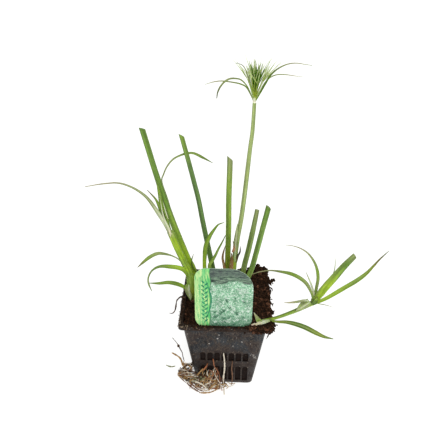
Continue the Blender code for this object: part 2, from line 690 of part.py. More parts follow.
def build_root_mat():
    """The tangle in front of the pot's lower left corner, with the strands that feed it."""
    bm = bmesh.new()
    bmesh.ops.create_icosphere(bm, subdivisions=2, radius=1)
    bmesh.ops.scale(bm, vec=(16, 5.4, 5.6), verts=bm.verts)
    for vert in bm.verts:
        vert.co *= 1 + 0.25 * noise.noise(vert.co * 0.3)
    bmesh.ops.rotate(bm, matrix=Matrix.Rotation(math.radians(-6), 3, "Z"), verts=bm.verts)
    bmesh.ops.translate(bm, vec=(-25, -40.2, 6.1), verts=bm.verts)
    mat = add_object("root_mat", mesh_from(bm, "root_mat"), ROOT_TAN)
    strands = [[at_soil(-22, 30), (-23, -37.5, 25), (-29, -39, 15), (-30, -40, 8)],
               [at_soil(-15, 26), (-16, -37.5, 20), (-15, -40, 8)],
               [(-33.8, -20, 28), (-40, -26, 26), (-46, -32, 17), (-44, -36, 8), (-34, -40, 6)],
               [(-30, -39, 11), (-42, -35, 13), (-49, -31, 12), (-48, -36, 4), (-38, -42, 3.5)],
               [(-14, -39, 7), (-4, -40.5, 2.5), (4, -38, 4), (12, -36.5, 8)]]
    parts = []
    for points in strands:
        path = route(points, 8)
        parts.append(meshed(tube("strand", None, path, [1.0, 1.1, 1.1, 1.1, 1.0, 0.9, 0.8, 0.6], sides=0)))
    boolean_group(mat, "UNION", "strands", parts, solver="MANIFOLD")


CULM_SECTION = triangle_profile()
build_pot()
tall, second, middle, umbel, inner, outer = build_culms()
left_stem, right_stem, right_cut = build_side_stems()
build_left_leaves(left_stem, tall)
build_middle_leaves(second, middle, umbel)
build_right_leaves(right_stem, right_cut)
build_umbel()
build_umbel_bracts(umbel)
build_label()
build_soil([tall, second, middle, umbel, inner, outer, left_stem, right_stem])
build_roots()
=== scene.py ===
"""The looks of a potted papyrus: cut culms, one tuft, two leafy side shoots, peat, label, roots and pot.

Run as a script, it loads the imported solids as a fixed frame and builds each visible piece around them.
Routes and sizes are millimetres in the frame of the solids: the origin is the centre of the pot's underside,
+Z is up and the printed side of the label faces -Y. MM turns them into Blender's metres.
"""

import json
import math
import random

import bmesh
import bpy
from bpy.props import FloatProperty, FloatVectorProperty, IntProperty, PointerProperty
from mathutils import Matrix, Quaternion, Vector, noise


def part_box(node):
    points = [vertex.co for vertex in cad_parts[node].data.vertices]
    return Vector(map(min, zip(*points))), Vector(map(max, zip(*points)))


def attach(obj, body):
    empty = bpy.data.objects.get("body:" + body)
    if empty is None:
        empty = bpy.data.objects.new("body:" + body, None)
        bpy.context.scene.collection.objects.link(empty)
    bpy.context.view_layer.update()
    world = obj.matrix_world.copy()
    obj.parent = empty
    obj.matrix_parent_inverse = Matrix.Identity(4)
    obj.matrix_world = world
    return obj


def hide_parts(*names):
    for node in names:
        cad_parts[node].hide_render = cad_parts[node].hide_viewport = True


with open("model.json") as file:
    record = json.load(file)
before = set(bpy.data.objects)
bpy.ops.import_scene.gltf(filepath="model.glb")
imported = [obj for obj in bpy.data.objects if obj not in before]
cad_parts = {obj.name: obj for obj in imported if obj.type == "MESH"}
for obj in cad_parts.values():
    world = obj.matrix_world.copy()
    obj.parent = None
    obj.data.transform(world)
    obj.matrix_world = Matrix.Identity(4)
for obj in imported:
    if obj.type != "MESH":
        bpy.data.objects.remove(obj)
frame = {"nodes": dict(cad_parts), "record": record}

bl_info = {
    "name": "Potted Papyrus",
    "version": (1, 0, 0),
    "blender": (4, 5, 0),
    "location": "3D View > Sidebar > Papyrus",
    "description": "Builds the visible pieces of a papyrus in a square pond pot around its solids",
    "category": "Add Mesh",
}

MM = 0.001
UP = Vector((0, 0, 1))
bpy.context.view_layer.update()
SLOT_OF = {part["node"]: part["material_slot"] for part in frame["record"]["subparts"]}

# The pot in millimetres: its height and its rim from the frame, how far the rim stands out, half the wall's
# width at the underside and just below the rim, and the height above which the peat lies in the open
POT_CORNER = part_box("pot")[1]
POT_HEIGHT = POT_CORNER.z / MM
RIM_OVERHANG = 3.0
WALL_HALF_AT_BASE = 30.5
WALL_HALF_AT_RIM = POT_CORNER.x / MM - RIM_OVERHANG
OPEN_PEAT = POT_HEIGHT - 7

FACE_VIEWER = Vector((0, -0.6, 0.8))    # most blades turn their upper side up and forwards
FACE_FRONT = Vector((0, -1, 0.25))      # the upright ones turn it forwards


# ---------------------------------------------------------------- settings

def linear(code):
    """An sRGB hex colour as the linear RGBA that Blender's sockets hold."""
    channels = [int(code[i:i + 2], 16) / 255 for i in (0, 2, 4)]
    return tuple(c / 12.92 if c <= 0.04045 else ((c + 0.055) / 1.055) ** 2.4 for c in channels) + (1.0,)


def tint(name, code, description):
    """A colour that a user can change, with an sRGB hex default."""
    return FloatVectorProperty(name=name, description=description, subtype="COLOR", size=4, min=0, max=1,
                               default=linear(code))


def size(name, millimetres, description):
    """A length that a user can change, with a default in millimetres."""
    return FloatProperty(name=name, description=description, unit="LENGTH", min=0, precision=5,
                         default=millimetres * MM)


class PAPYRUS_PG_tissue(bpy.types.PropertyGroup):
    """The colours that every culm, blade and sheath is shaded from."""

    fresh: tint("Fresh", "9abb2f", "Yellow-green of a young blade in full light")
    mid: tint("Mid", "84a33e", "Olive green of a grown blade")
    dull: tint("Dull", "949f68", "Grey-green of an ageing blade")
    deep: tint("Deep", "5d7b2a", "Shaded folds and margins")
    night: tint("Night", "33391f", "Dying tips and torn edges")
    pale: tint("Pale", "d3dab8", "Bleached blade bases")
    cream: tint("Cream", "e8dfba", "Nodes and dry membranes")
    straw: tint("Straw", "b3a987", "Withered tips")
    rust: tint("Rust", "ad7a50", "Dry sheaths")
    brown: tint("Brown", "6c5733", "Stained feet and split edges")
    olive: tint("Olive", "86962b", "Feet of the middle culms")
    pink: tint("Pink", "dfc6b4", "Foot of the right shoot")
    culm: tint("Culm", "688b36", "Green of the tall culm")
    blue: tint("Blue", "5f7f42", "Blue-green of the darker culms")
    light: tint("Light", "9cae6a", "Soft green of the flowering culm")
    grey: tint("Grey", "889e5a", "Dull green of the short inner culm")
    bright: tint("Bright", "7b9c4c", "Fresh green of the short outer culm")
    pith: tint("Pith", "b3ae8c", "Spongy cut faces")


class PAPYRUS_PG_shape(bpy.types.PropertyGroup):
    """Sizes that the culms and blades share."""

    corner: FloatProperty(name="Corner", description="How far a culm's three corners stand out",
                          default=0.12, min=0, max=0.3)
    blade: size("Blade", 0.35, "Thickness of a blade")
    rind: size("Rind", 0.45, "Thickness of the rind round a cut culm's pith")


class PAPYRUS_PG_tuft(bpy.types.PropertyGroup):
    """The tuft on the flowering culm."""

    rays: IntProperty(name="Rays", description="Number of rays", default=32, min=8, max=200)
    ray: size("Ray", 23.0, "Length of a ray from the cup to its spikelets")
    leaflets: IntProperty(name="Leaflets", description="Fine leaflets at a ray's tip", default=3, min=1)
    leaflet: size("Leaflet", 16.0, "Length of such a leaflet")
    foot: tint("Foot", "a0b23c", "Olive foot of the inner rays")
    heart: tint("Heart", "4a7410", "Dark green middle of the tuft")
    outer: tint("Outer", "93a64a", "Rays at the rim of the tuft")
    hair: tint("Hair", "c0cf92", "Tips of the leaflets")
    cup: tint("Cup", "e2e3c6", "Membrane round the feet of the rays")


class PAPYRUS_PG_pot(bpy.types.PropertyGroup):
    """The pot's moulded plastic."""

    plastic: tint("Plastic", "111113", "Black plastic")
    film: tint("Film", "292d32", "Dried blue-grey film of lime")
    loam: tint("Loam", "2b201c", "Brown film that the peat has washed down")
    dirt: tint("Dirt", "2a1d15", "Peat smeared on the rim")
    dust: tint("Dust", "94836f", "Dry dust that catches on edges")
    rounding: size("Rounding", 0.3, "Radius of the moulded edges")


class PAPYRUS_PG_peat(bpy.types.PropertyGroup):
    """The peat and what lies on it."""

    dark: tint("Dark", "0f0905", "Moist hollows")
    light: tint("Light", "372213", "Dry crumb tops")
    bark: tint("Bark", "704a36", "Bark specks")
    grain: size("Grain", 0.9, "Size of the cells that the rough surface is made of")
    relief: size("Relief", 3.0, "Height of its crumbs")
    crumbs: IntProperty(name="Crumbs", description="Loose crumbs on the surface", default=1700, min=0)
    fibres: IntProperty(name="Fibres", description="Short fibres on the surface", default=150, min=0)


class PAPYRUS_PG_label(bpy.types.PropertyGroup):
    """The plant label: its size and the colours of its print."""

    width: size("Width", 54.0, "Width of the label's head")
    height: size("Height", 69.3, "Height of the label's head")
    thickness: size("Thickness", 0.6, "Thickness of the card")
    mint: tint("Mint", "96c7a2", "Ground of the print")
    lime: tint("Lime", "62cf6c", "Side band")
    teal: tint("Teal", "1f8a62", "Motifs of the band")
    forest: tint("Forest", "2c5a45", "Dark strokes")
    border: tint("Border", "c3dcc0", "Unprinted edge and back")


class PAPYRUS_PG_roots(bpy.types.PropertyGroup):
    """The roots that have grown out through the slots."""

    tan: tint("Tan", "b9935c", "Most of the roots")
    cream: tint("Cream", "eae1cd", "Young roots")
    rust: tint("Rust", "a0603c", "Red-brown roots")
    brown: tint("Brown", "70503a", "Older roots")
    # Also stands in for the shade behind the tangle, on most roots at the wall: painted shade
    dark: tint("Dark", "2a1d15", "Dead roots")
    moss: tint("Moss", "8a9468", "A root that light has turned green")
    fibres: IntProperty(name="Fibres", description="Roots in the tangle", default=220, min=0)


class PAPYRUS_PG_stage(bpy.types.PropertyGroup):
    """Camera, floor and light."""

    lens: FloatProperty(name="Lens", description="Focal length on a 36 mm sensor", default=37.67, min=1)
    pitch: FloatProperty(name="Pitch", description="How far the camera looks down", subtype="ANGLE",
                         default=math.radians(31.5))
    turn: FloatProperty(name="Turn", description="How far the camera looks to the left", subtype="ANGLE",
                        default=math.radians(2.6))
    sun: FloatProperty(name="Sun", description="Strength of the main light", default=1.35, min=0)
    sky: FloatProperty(name="Sky", description="Strength of the light from all round", default=0.45, min=0)
    glow: FloatProperty(name="Glow", description="Light that the lit paper gives back", default=1.5, min=0)
    floor: tint("Floor", "bdbdbc", "Pale studio floor")


GROUPS = {"tissue": PAPYRUS_PG_tissue, "shape": PAPYRUS_PG_shape, "tuft": PAPYRUS_PG_tuft,
          "pot": PAPYRUS_PG_pot, "peat": PAPYRUS_PG_peat, "label": PAPYRUS_PG_label,
          "roots": PAPYRUS_PG_roots, "stage": PAPYRUS_PG_stage}


def settings(group):
    """The values that the scene holds for one of the groups above."""
    return getattr(bpy.context.scene, "papyrus_" + group)


def shade(group, name):
    """One colour of a group, as a socket takes it."""
    return tuple(getattr(settings(group), name))


# ---------------------------------------------------------------- shapes

# Relative widths of a grown blade, evenly spread from its foot to its tip
LANCE = (0.6, 0.9, 1.0, 0.95, 0.8, 0.5, 0.08)
CURVE_STEPS = 16        # of a curve between two of its given points
LENGTH_POINTS = 24      # that a curve's length is measured with
FEWEST_ROWS = 5         # of faces along a short piece
BLADE_ROW = 1.4         # length of a row of a blade's faces, in millimetres
STALK_ROW = 2.0         # the same for a culm
STALK_COLUMNS = 24      # of faces round a culm
PAST_CUT = 2.5          # how many of its radii a culm goes on before its cut takes that off
SAME_PLACE = 1e-4       # millimetres between two vertices of a new shape that are one
SAME_CAD_PLACE = 0.01   # the same for the corners of CAD triangles


def route(points, count):
    """Evenly spaced points along a smooth curve through the given ones."""
    through = [Vector(p) for p in points]
    padded = [through[0] * 2 - through[1]] + through + [through[-1] * 2 - through[-2]]
    dense = []
    for k in range(len(through) - 1):
        a, b, c, d = padded[k:k + 4]
        for step in range(CURVE_STEPS):
            t = step / CURVE_STEPS
            dense.append(0.5 * (2 * b + (c - a) * t + (2 * a - 5 * b + 4 * c - d) * t * t
                                + (3 * b - a - 3 * c + d) * t ** 3))
    dense.append(through[-1])
    run = [0.0]
    for p, q in zip(dense, dense[1:]):
        run.append(run[-1] + (q - p).length)
    even = []
    k = 0
    for i in range(count):
        goal = run[-1] * i / (count - 1)
        while k < len(run) - 2 and run[k + 1] < goal:
            k += 1
        even.append(dense[k].lerp(dense[k + 1], (goal - run[k]) / (run[k + 1] - run[k])))
    return even


def rows_for(points, spacing):
    """How many rows of this length fit along the curve through the points."""
    path = route(points, LENGTH_POINTS)
    return max(round(sum((q - p).length for p, q in zip(path, path[1:])) / spacing), FEWEST_ROWS)


def heading(path, i):
    """The direction of a path at its point i."""
    return (path[min(i + 1, len(path) - 1)] - path[max(i - 1, 0)]).normalized()


def read_at(stops, along):
    """The value at a place from 0 to 1 along evenly spaced stops."""
    place = along * (len(stops) - 1)
    k = min(int(place), len(stops) - 2)
    return stops[k] + (stops[k + 1] - stops[k]) * (place - k)


def dress(verts, material):
    """Give the faces round these vertices their material; a new face already has the first one."""
    if material:
        for face in {face for vert in verts for face in vert.link_faces}:
            face.material_index = material


def skin(bm, columns, rows, place, material=0):
    """A grid whose vertices go to place(column, row), with a UV map that runs across and along it."""
    made = bmesh.ops.create_grid(bm, x_segments=columns, y_segments=rows, size=0.5, calc_uvs=True)["verts"]
    for vert in made:
        vert.co = place(round((vert.co.x + 0.5) * columns), round((vert.co.y + 0.5) * rows))
    dress(made, material)


def new_bmesh():
    """An empty bmesh with the UV map that the materials read."""
    bm = bmesh.new()
    bm.loops.layers.uv.new("surface")
    return bm


def resize(bm, factor):
    """Scale all of a bmesh about the origin."""
    bmesh.ops.scale(bm, vec=(factor, factor, factor), verts=bm.verts)


def mesh_of(bm, name):
    """A new mesh with the shape of a bmesh, which is freed."""
    mesh = bpy.data.meshes.new(name)
    bm.to_mesh(mesh)
    bm.free()
    return mesh


def placed(name, data):
    """A new object in the scene with this mesh, camera or light."""
    made = bpy.data.objects.new(name, data)
    bpy.context.scene.collection.objects.link(made)
    return made


class Heap:
    """A mesh of many small shapes. Each is added in a small bmesh that is emptied into the whole now and
    then, because every bmesh operator gets slow in a large one."""

    MOST_VERTS = 1500

    def __init__(self):
        self.whole = new_bmesh()
        self.small = new_bmesh()

    def next(self):
        """The bmesh that the next small shape goes into."""
        if len(self.small.verts) > self.MOST_VERTS:
            self.empty()
        return self.small

    def empty(self):
        """Move the small shapes into the whole."""
        mesh = mesh_of(self.small, "heap")
        self.whole.from_mesh(mesh)
        bpy.data.meshes.remove(mesh)
        self.small = new_bmesh()

    def all(self):
        """The whole heap, once nothing more goes into it."""
        self.empty()
        self.small.free()
        return self.whole


def strand(bm, points, radii, sides, spacing=1.2, material=0, rough=0.0):
    """A round ray or root that closes to a point at both ends; radii are spread evenly along it."""
    rows = rows_for(points, spacing)
    path = route(points, rows + 1)
    side = heading(path, 0).orthogonal().normalized()
    rings = []
    for i, centre in enumerate(path):
        ahead = heading(path, i)
        side = (side - ahead * side.dot(ahead)).normalized()
        radius = read_at(radii, i / rows) * (1 + rough * noise.noise(centre * 0.6))
        if i in (0, rows):
            radius = 0
        rings.append((centre, side.copy(), side.cross(ahead), radius))

    def place(column, row):
        centre, across, over, radius = rings[row]
        angle = 2 * math.pi * column / sides
        return centre + (across * math.cos(angle) + over * math.sin(angle)) * radius

    skin(bm, sides, rows, place, material)


def blade(bm, width, points, spread=LANCE, face=FACE_VIEWER, fold=0.35, twist=0.0, columns=8, material=0,
          tip=0.1):
    """A leaf: a grid bent along its route, keeled along its middle, with relative widths spread along it.

    face is the side that its upper surface turns to, fold how steeply its halves rise from the keel, twist
    how far its tip turns away from that side, and tip the least half width that it narrows to.
    """
    rows = rows_for(points, BLADE_ROW)
    path = route(points, rows + 1)
    rings = []
    for i, centre in enumerate(path):
        along = i / rows
        ahead = heading(path, i)
        side = ahead.cross(face).normalized()
        side.rotate(Quaternion(ahead, twist * along))
        half = width / 2 * read_at(spread, along) * (1 + 0.06 * noise.noise(centre * 0.12))
        rings.append((centre, side, side.cross(ahead), max(half, tip)))

    def place(column, row):
        centre, side, rise, half = rings[row]
        share = column / columns * 2 - 1
        lift = fold * abs(share)
        return centre + side * half * share + rise * lift * half

    skin(bm, columns, rows, place, material)


def stalk(bm, points, radii, corner, rind, turn, cut=None):
    """A culm with three rounded corners, turned about its axis, and a rind of this thickness round its pith.

    cut is the slope of its cut end along X and Y, if it has one.
    """
    rows = rows_for(points, STALK_ROW)
    path = route(points, rows + 1)
    end = path[-1].copy()
    if cut:
        path.append(end + heading(path, rows) * radii[-1] * PAST_CUT)
        rows += 1
    side = FACE_FRONT.cross(heading(path, 0)).normalized()
    rings = []
    for i, centre in enumerate(path):
        ahead = heading(path, i)
        side = (side - ahead * side.dot(ahead)).normalized()
        rings.append((centre, side.copy(), ahead.cross(side), read_at(radii, i / rows)))

    def place(column, row):
        centre, across, over, radius = rings[row]
        angle = 2 * math.pi * column / STALK_COLUMNS
        out = (across * math.cos(angle) + over * math.sin(angle)) * radius
        return centre + out * (1 + corner * math.cos(3 * (angle - turn)) + 0.03 * noise.noise(centre + out))

    skin(bm, STALK_COLUMNS, rows, place)
    bmesh.ops.remove_doubles(bm, verts=bm.verts, dist=SAME_PLACE)
    if cut:
        sliced = bmesh.ops.bisect_plane(bm, geom=bm.verts[:] + bm.edges[:] + bm.faces[:], dist=1e-5,
                                        plane_co=end, plane_no=(-cut[0], -cut[1], 1), clear_outer=True)
        rim = [item for item in sliced["geom_cut"] if isinstance(item, bmesh.types.BMEdge)]
        face = bmesh.ops.holes_fill(bm, edges=rim, sides=0)["faces"]
        bmesh.ops.inset_region(bm, faces=face, thickness=rind, depth=0)
        bmesh.ops.inset_region(bm, faces=face, thickness=rind / 2, depth=-rind)
        for pith in face:
            pith.material_index = 1
    bmesh.ops.holes_fill(bm, edges=bm.edges, sides=0)


def lump(bm, centre, radius, rng, detail=1, material=0, flat=1.0):
    """A rough crumb: an icosphere squeezed, turned and dented at random, and flat along Y where asked."""
    made = bmesh.ops.create_icosphere(bm, subdivisions=detail, radius=1)["verts"]
    stretch = [rng.uniform(0.6, 1.25) for _ in range(3)]
    axis = Vector((rng.uniform(-1, 1), rng.uniform(-1, 1), rng.uniform(-1, 1))).normalized()
    turn = Quaternion(axis, rng.uniform(0, math.pi))
    seed = Vector((rng.uniform(-50, 50), rng.uniform(-50, 50), 0))
    for vert in made:
        dent = 0.6 * noise.noise(vert.co * 1.3 + seed) + 0.35 * noise.noise(vert.co * 3.1 + seed)
        spot = Vector([c * s * (1 + dent) for c, s in zip(vert.co, stretch)])
        spot.rotate(turn)
        spot.y *= flat
        vert.co = centre + spot * radius
    dress(made, material)


def merged_copy(name):
    """A CAD node's shape in millimetres, its loose triangles joined into one skin."""
    bm = bmesh.new()
    bm.from_mesh(frame["nodes"][name].data)
    resize(bm, 1 / MM)
    bmesh.ops.remove_doubles(bm, verts=bm.verts, dist=SAME_CAD_PLACE)
    return bm


def piece(bm, name, finishes, replaces=(), slot=None, thickness=0.0, sharp=50):
    """Turn a bmesh in millimetres into an object at the origin that rides on the root body.

    Edges sharper than so many degrees stay edges, and a sheet gets its thickness in metres.
    """
    bmesh.ops.remove_doubles(bm, verts=bm.verts, dist=SAME_PLACE)
    bmesh.ops.recalc_face_normals(bm, faces=bm.faces)
    resize(bm, MM)
    mesh = mesh_of(bm, name)
    made = placed(name, mesh)
    for finish in finishes:
        mesh.materials.append(finish)
    mesh.shade_smooth()
    mesh.set_sharp_from_angle(angle=math.radians(sharp))
    if thickness:
        wall = made.modifiers.new("Thickness", "SOLIDIFY")
        wall.thickness = thickness
        wall.offset = 0
    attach(made, "root")
    if replaces:
        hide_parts(*replaces)
    slot or SLOT_OF[replaces[0]]
    return made


# ---------------------------------------------------------------- materials

# A colour mix's sockets share their names, so they go by number: 0 is the factor, 6 and 7 are the colours
COLOUR_MIX = {"data_type": "RGBA", "out": 2}


def node(tree, kind, inputs=None, out=0, stops=None, **attributes):
    """Add a node with its attributes, its inputs' values or links and a ramp's stops; returns one output."""
    made = tree.nodes.new(kind)
    for key, value in attributes.items():
        setattr(made, key, value)
    for key, value in (inputs or {}).items():
        if isinstance(value, bpy.types.NodeSocket):
            tree.links.new(value, made.inputs[key])
        else:
            made.inputs[key].default_value = value
    for k, (place, colour) in enumerate(stops or []):
        stop = made.color_ramp.elements[k] if k < 2 else made.color_ramp.elements.new(place)
        stop.position = place
        stop.color = colour
    return made.outputs[out]


def blank(name, roughness, gloss=0.5):
    """A new material with only its shader and output; returns it with its tree and shader."""
    made = bpy.data.materials.new(name)
    made.use_nodes = True
    shader = made.node_tree.nodes["Principled BSDF"]
    shader.inputs["Roughness"].default_value = roughness
    shader.inputs["Specular IOR Level"].default_value = gloss
    return made, made.node_tree, shader


def per_mm(count):
    """A pattern scale in the metres of Object coordinates, from its repeats in a millimetre."""
    return count / MM


def cloudy(tree, where, scale, low, high, start=0.0, end=1.0, detail=3.0, roughness=0.6):
    """Soft random patches: start where the noise is below low, end where it is above high."""
    noise_value = node(tree, "ShaderNodeTexNoise", {"Vector": where, "Scale": scale, "Detail": detail,
                                                    "Roughness": roughness})
    return node(tree, "ShaderNodeMapRange", {"Value": noise_value, "From Min": low, "From Max": high,
                                             "To Min": start, "To Max": end})


def laid_on(tree, body, colour, where, scale, low, high, share, detail=3.0, roughness=0.6):
    """A body colour with soft random patches of another one on it, which cover it by a share at most."""
    mask = cloudy(tree, where, scale, low, high, 0.0, share, detail, roughness)
    return node(tree, "ShaderNodeMix", {0: mask, 6: body, 7: colour}, **COLOUR_MIX)


def toned(tree, body, where, scale, low, high, detail=3.0, roughness=0.6):
    """A body colour made darker and lighter in places, from low to high times its value."""
    value = cloudy(tree, where, scale, 0.3, 0.7, low, high, detail, roughness)
    return node(tree, "ShaderNodeHueSaturation", {"Color": body, "Value": value})


def painted(tree, body, colour, value, low, high, start=0.0, end=1.0):
    """A body colour with another one on it, from start to end as a value goes from low to high."""
    mask = node(tree, "ShaderNodeMapRange", {"Value": value, "From Min": low, "From Max": high,
                                             "To Min": start, "To Max": end})
    return node(tree, "ShaderNodeMix", {0: mask, 6: body, 7: colour}, **COLOUR_MIX)


def finished(tree, shader, body, height, strength, depth):
    """Give a shader its colour and a relief of so many millimetres."""
    tree.links.new(body, shader.inputs["Base Color"])
    relief = node(tree, "ShaderNodeBump", {"Height": height, "Strength": strength, "Distance": depth * MM})
    tree.links.new(relief, shader.inputs["Normal"])


def grained(tree, shader, body, where, scale, strength, depth, detail=2.0):
    """Give a shader its colour and a random grain as its relief."""
    grain = node(tree, "ShaderNodeTexNoise", {"Vector": where, "Scale": scale, "Detail": detail})
    finished(tree, shader, body, grain, strength, depth)


def lit_through(shader, weight, depth):
    """Let light into green tissue, so many millimetres deep: green the farthest and blue the least."""
    shader.inputs["Subsurface Weight"].default_value = weight
    shader.inputs["Subsurface Radius"].default_value = (0.6, 1.0, 0.25)
    shader.inputs["Subsurface Scale"].default_value = depth * MM


def run_of(shades):
    """A ramp's stops, the shades evenly spread from 0 to 1."""
    return [(i / (len(shades) - 1), colour) for i, colour in enumerate(shades)]


VEIN = 0.55         # millimetres between the veins of a blade
KEEL = 0.14         # how far the midrib's shade (on a culm: painted side shade) reaches, as a share of the width

# What sets one tissue apart from the next: shades from foot to tip, the shade of the midrib (on a culm:
# painted light and shade along its right side), of the margins (on a culm: painted light and shade along its
# left side) and of stains, the real width of the piece in millimetres, and a vein or keel of its own.
TISSUES = {
    "fresh_sedge_blade": {"shades": "mid mid mid deep", "rib": "fresh", "edge": "deep", "width": 4},
    "fresh_blade_with_dark_margins": {"shades": "fresh fresh fresh mid deep dull deep", "rib": "light",
                                      "edge": "deep", "width": 4},
    "fresh_blade_dark_tipped": {"shades": "fresh fresh fresh fresh mid mid olive brown night",
                                "rib": "light", "edge": "mid", "width": 5},
    "olive_blade_light_ribbed": {"shades": "mid olive deep deep olive deep", "rib": "light", "edge": "deep",
                                 "keel": 0.24, "width": 5},
    "grown_sedge_blade": {"shades": "fresh fresh mid mid deep", "rib": "light", "edge": "deep", "width": 4},
    "grown_blade_pale_ribbed": {"shades": "olive olive fresh mid mid deep", "rib": "fresh", "edge": "deep",
                                "width": 4},
    "grey_sedge_blade": {"shades": "dull pale dull dull straw straw", "rib": "pale", "edge": "deep",
                         "width": 4},
    "grey_green_blade": {"shades": "pale dull dull dull mid deep", "rib": "dull", "edge": "dull", "width": 3},
    "grey_blade_pale_ribbed": {"shades": "pale pale dull dull mid brown", "rib": "light", "edge": "deep",
                               "width": 4},
    "dark_folded_blade": {"shades": "deep deep deep mid brown", "edge": "night", "width": 3},
    "bleached_sedge_blade": {"shades": "cream pale pale dull", "edge": "dull", "width": 3},
    "straw_tipped_blade": {"shades": "mid dull mid dull straw straw", "rib": "mid", "edge": "deep",
                           "width": 4},
    "pale_tipped_bract": {"shades": "light light mid dull dull straw pale", "edge": "dull", "width": 3},
    "dark_tipped_bract": {"shades": "light mid dull dull night", "edge": "deep", "width": 3},
    "dark_green_bract": {"shades": "mid deep deep dull straw pale", "edge": "deep", "width": 3},
    "striped_membrane_sheath": {"shades": "dull light dull mid", "rib": "pale", "edge": "deep", "width": 7,
                                "vein": 1.6},
    "green_membrane_sheath": {"shades": "mid dull dull light", "rib": "pale", "edge": "deep", "width": 8,
                              "vein": 1.4},
    "pink_foot_sheath": {"shades": "pink cream pale light", "edge": "pale", "width": 5, "vein": 1.0},
    "dry_brown_sheath": {"shades": "rust rust brown", "edge": "brown", "width": 4, "stain": "straw"},
    "dead_black_sheath": {"shades": "brown night night", "edge": "night", "width": 2, "stain": "rust"},
    # The culms and stems: their midrib and margin shades are painted light and shade on their right and left
    # sides
    "tall_culm_rind": {"shades": "olive fresh fresh mid culm culm culm", "rib": "grey", "edge": "deep",
                       "width": 20, "vein": 2.8},
    "blue_culm_rind": {"shades": "olive deep blue blue blue blue mid", "rib": "deep", "edge": "blue",
                       "width": 15, "vein": 2.2},
    "middle_culm_rind": {"shades": "olive olive olive mid mid mid dull", "rib": "grey", "edge": "deep",
                         "width": 17, "vein": 2.6},
    "light_culm_rind": {"shades": "olive olive fresh light light light light light", "rib": "grey",
                        "edge": "dull", "width": 14, "vein": 2.2},
    "grey_culm_rind": {"shades": "brown olive grey grey grey dull", "rib": "blue", "edge": "deep",
                       "width": 17, "vein": 2.6},
    "bright_culm_rind": {"shades": "olive bright bright bright culm", "rib": "blue", "edge": "deep",
                         "width": 16, "vein": 2.6},
    "side_stem_rind": {"shades": "brown brown brown deep olive mid mid mid fresh mid fresh fresh fresh fresh "
                                 "light", "rib": "fresh", "edge": "deep", "width": 20, "vein": 2.2},
    "yellow_stem_rind": {"shades": "pink pale fresh mid mid light fresh", "rib": "mid", "edge": "deep",
                         "width": 12, "vein": 0.8},
    "leaning_culm_rind": {"shades": "fresh fresh fresh mid culm dull", "rib": "mid", "edge": "light",
                          "width": 22, "vein": 2.6},
}


def tissue(name):
    """Living or dried sedge tissue: veins run along the piece, so all of it is striped lengthwise.

    The margins and the midrib differ from the field between them, as on any sedge; on a culm the same two
    shades are painted light and shade along its left and right sides. Broad clouds of lighter green keep a
    long blade from looking painted. A faint subsurface glow gives thin blades their light look.
    """
    ready = bpy.data.materials.get(name)
    if ready:
        return ready
    look = TISSUES[name]
    made, tree, shader = blank(name, 0.5, 0.25)
    place = node(tree, "ShaderNodeUVMap", uv_map="surface")
    across = node(tree, "ShaderNodeSeparateXYZ", {"Vector": place})
    solid = node(tree, "ShaderNodeTexCoord", out="Object")
    body = node(tree, "ShaderNodeValToRGB", {"Fac": across.node.outputs["Y"]},
                stops=run_of([shade("tissue", word) for word in look["shades"].split()]))

    lighter = node(tree, "ShaderNodeHueSaturation", {"Color": body, "Hue": 0.488, "Value": 1.22})
    body = laid_on(tree, body, lighter, solid, per_mm(0.11), 0.42, 0.68, 0.7)
    darker = node(tree, "ShaderNodeHueSaturation", {"Color": body, "Hue": 0.505, "Value": 0.78})
    body = laid_on(tree, body, darker, solid, per_mm(0.17), 0.5, 0.7, 0.7, 4.0)

    lanes = node(tree, "ShaderNodeMapping",
                 {"Vector": place, "Scale": (look["width"] / look.get("vein", VEIN), 2.5, 1.0)})
    veins = node(tree, "ShaderNodeTexNoise", {"Vector": lanes, "Scale": 1.0, "Detail": 2.0})
    striped = node(tree, "ShaderNodeMapRange", {"Value": veins, "From Min": 0.3, "From Max": 0.7,
                                                "To Min": 0.58, "To Max": 1.42})
    body = node(tree, "ShaderNodeHueSaturation", {"Color": body, "Value": striped})

    middle = node(tree, "ShaderNodeMath", {0: across, 1: 0.5}, operation="SUBTRACT")
    offset = node(tree, "ShaderNodeMath", {0: middle}, operation="ABSOLUTE")
    # On a culm the midrib's shade lies along its right side and the margins' along its left: painted light
    # and shade.
    if "rib" in look:
        rib = shade("tissue", look["rib"])
        body = painted(tree, body, rib, offset, 0.02, look.get("keel", KEEL), 0.75, 0.0)
    body = painted(tree, body, shade("tissue", look["edge"]), offset, 0.33, 0.5, 0.0, 0.6)
    if "stain" in look:
        body = laid_on(tree, body, shade("tissue", look["stain"]), solid, per_mm(0.25), 0.55, 0.68, 0.8, 4.0)
    body = laid_on(tree, body, shade("tissue", "brown"), solid, per_mm(0.8), 0.68, 0.74, 0.6)
    finished(tree, shader, body, veins, 0.4, 0.25)
    lit_through(shader, 0.12, 0.6)
    return made


def cut_pith():
    """The cut face of a culm: a sponge of dried air cells without any gloss."""
    ready = bpy.data.materials.get("cut_culm_pith")
    if ready:
        return ready
    made, tree, shader = blank("cut_culm_pith", 0.9)
    solid = node(tree, "ShaderNodeTexCoord", out="Object")
    cells = node(tree, "ShaderNodeTexVoronoi", {"Vector": solid, "Scale": per_mm(2.2)})
    body = node(tree, "ShaderNodeValToRGB", {"Fac": cells},
                stops=[(0.1, shade("tissue", "grey")), (0.5, shade("tissue", "pith"))])
    finished(tree, shader, body, cells, 0.6, 0.2)
    return made


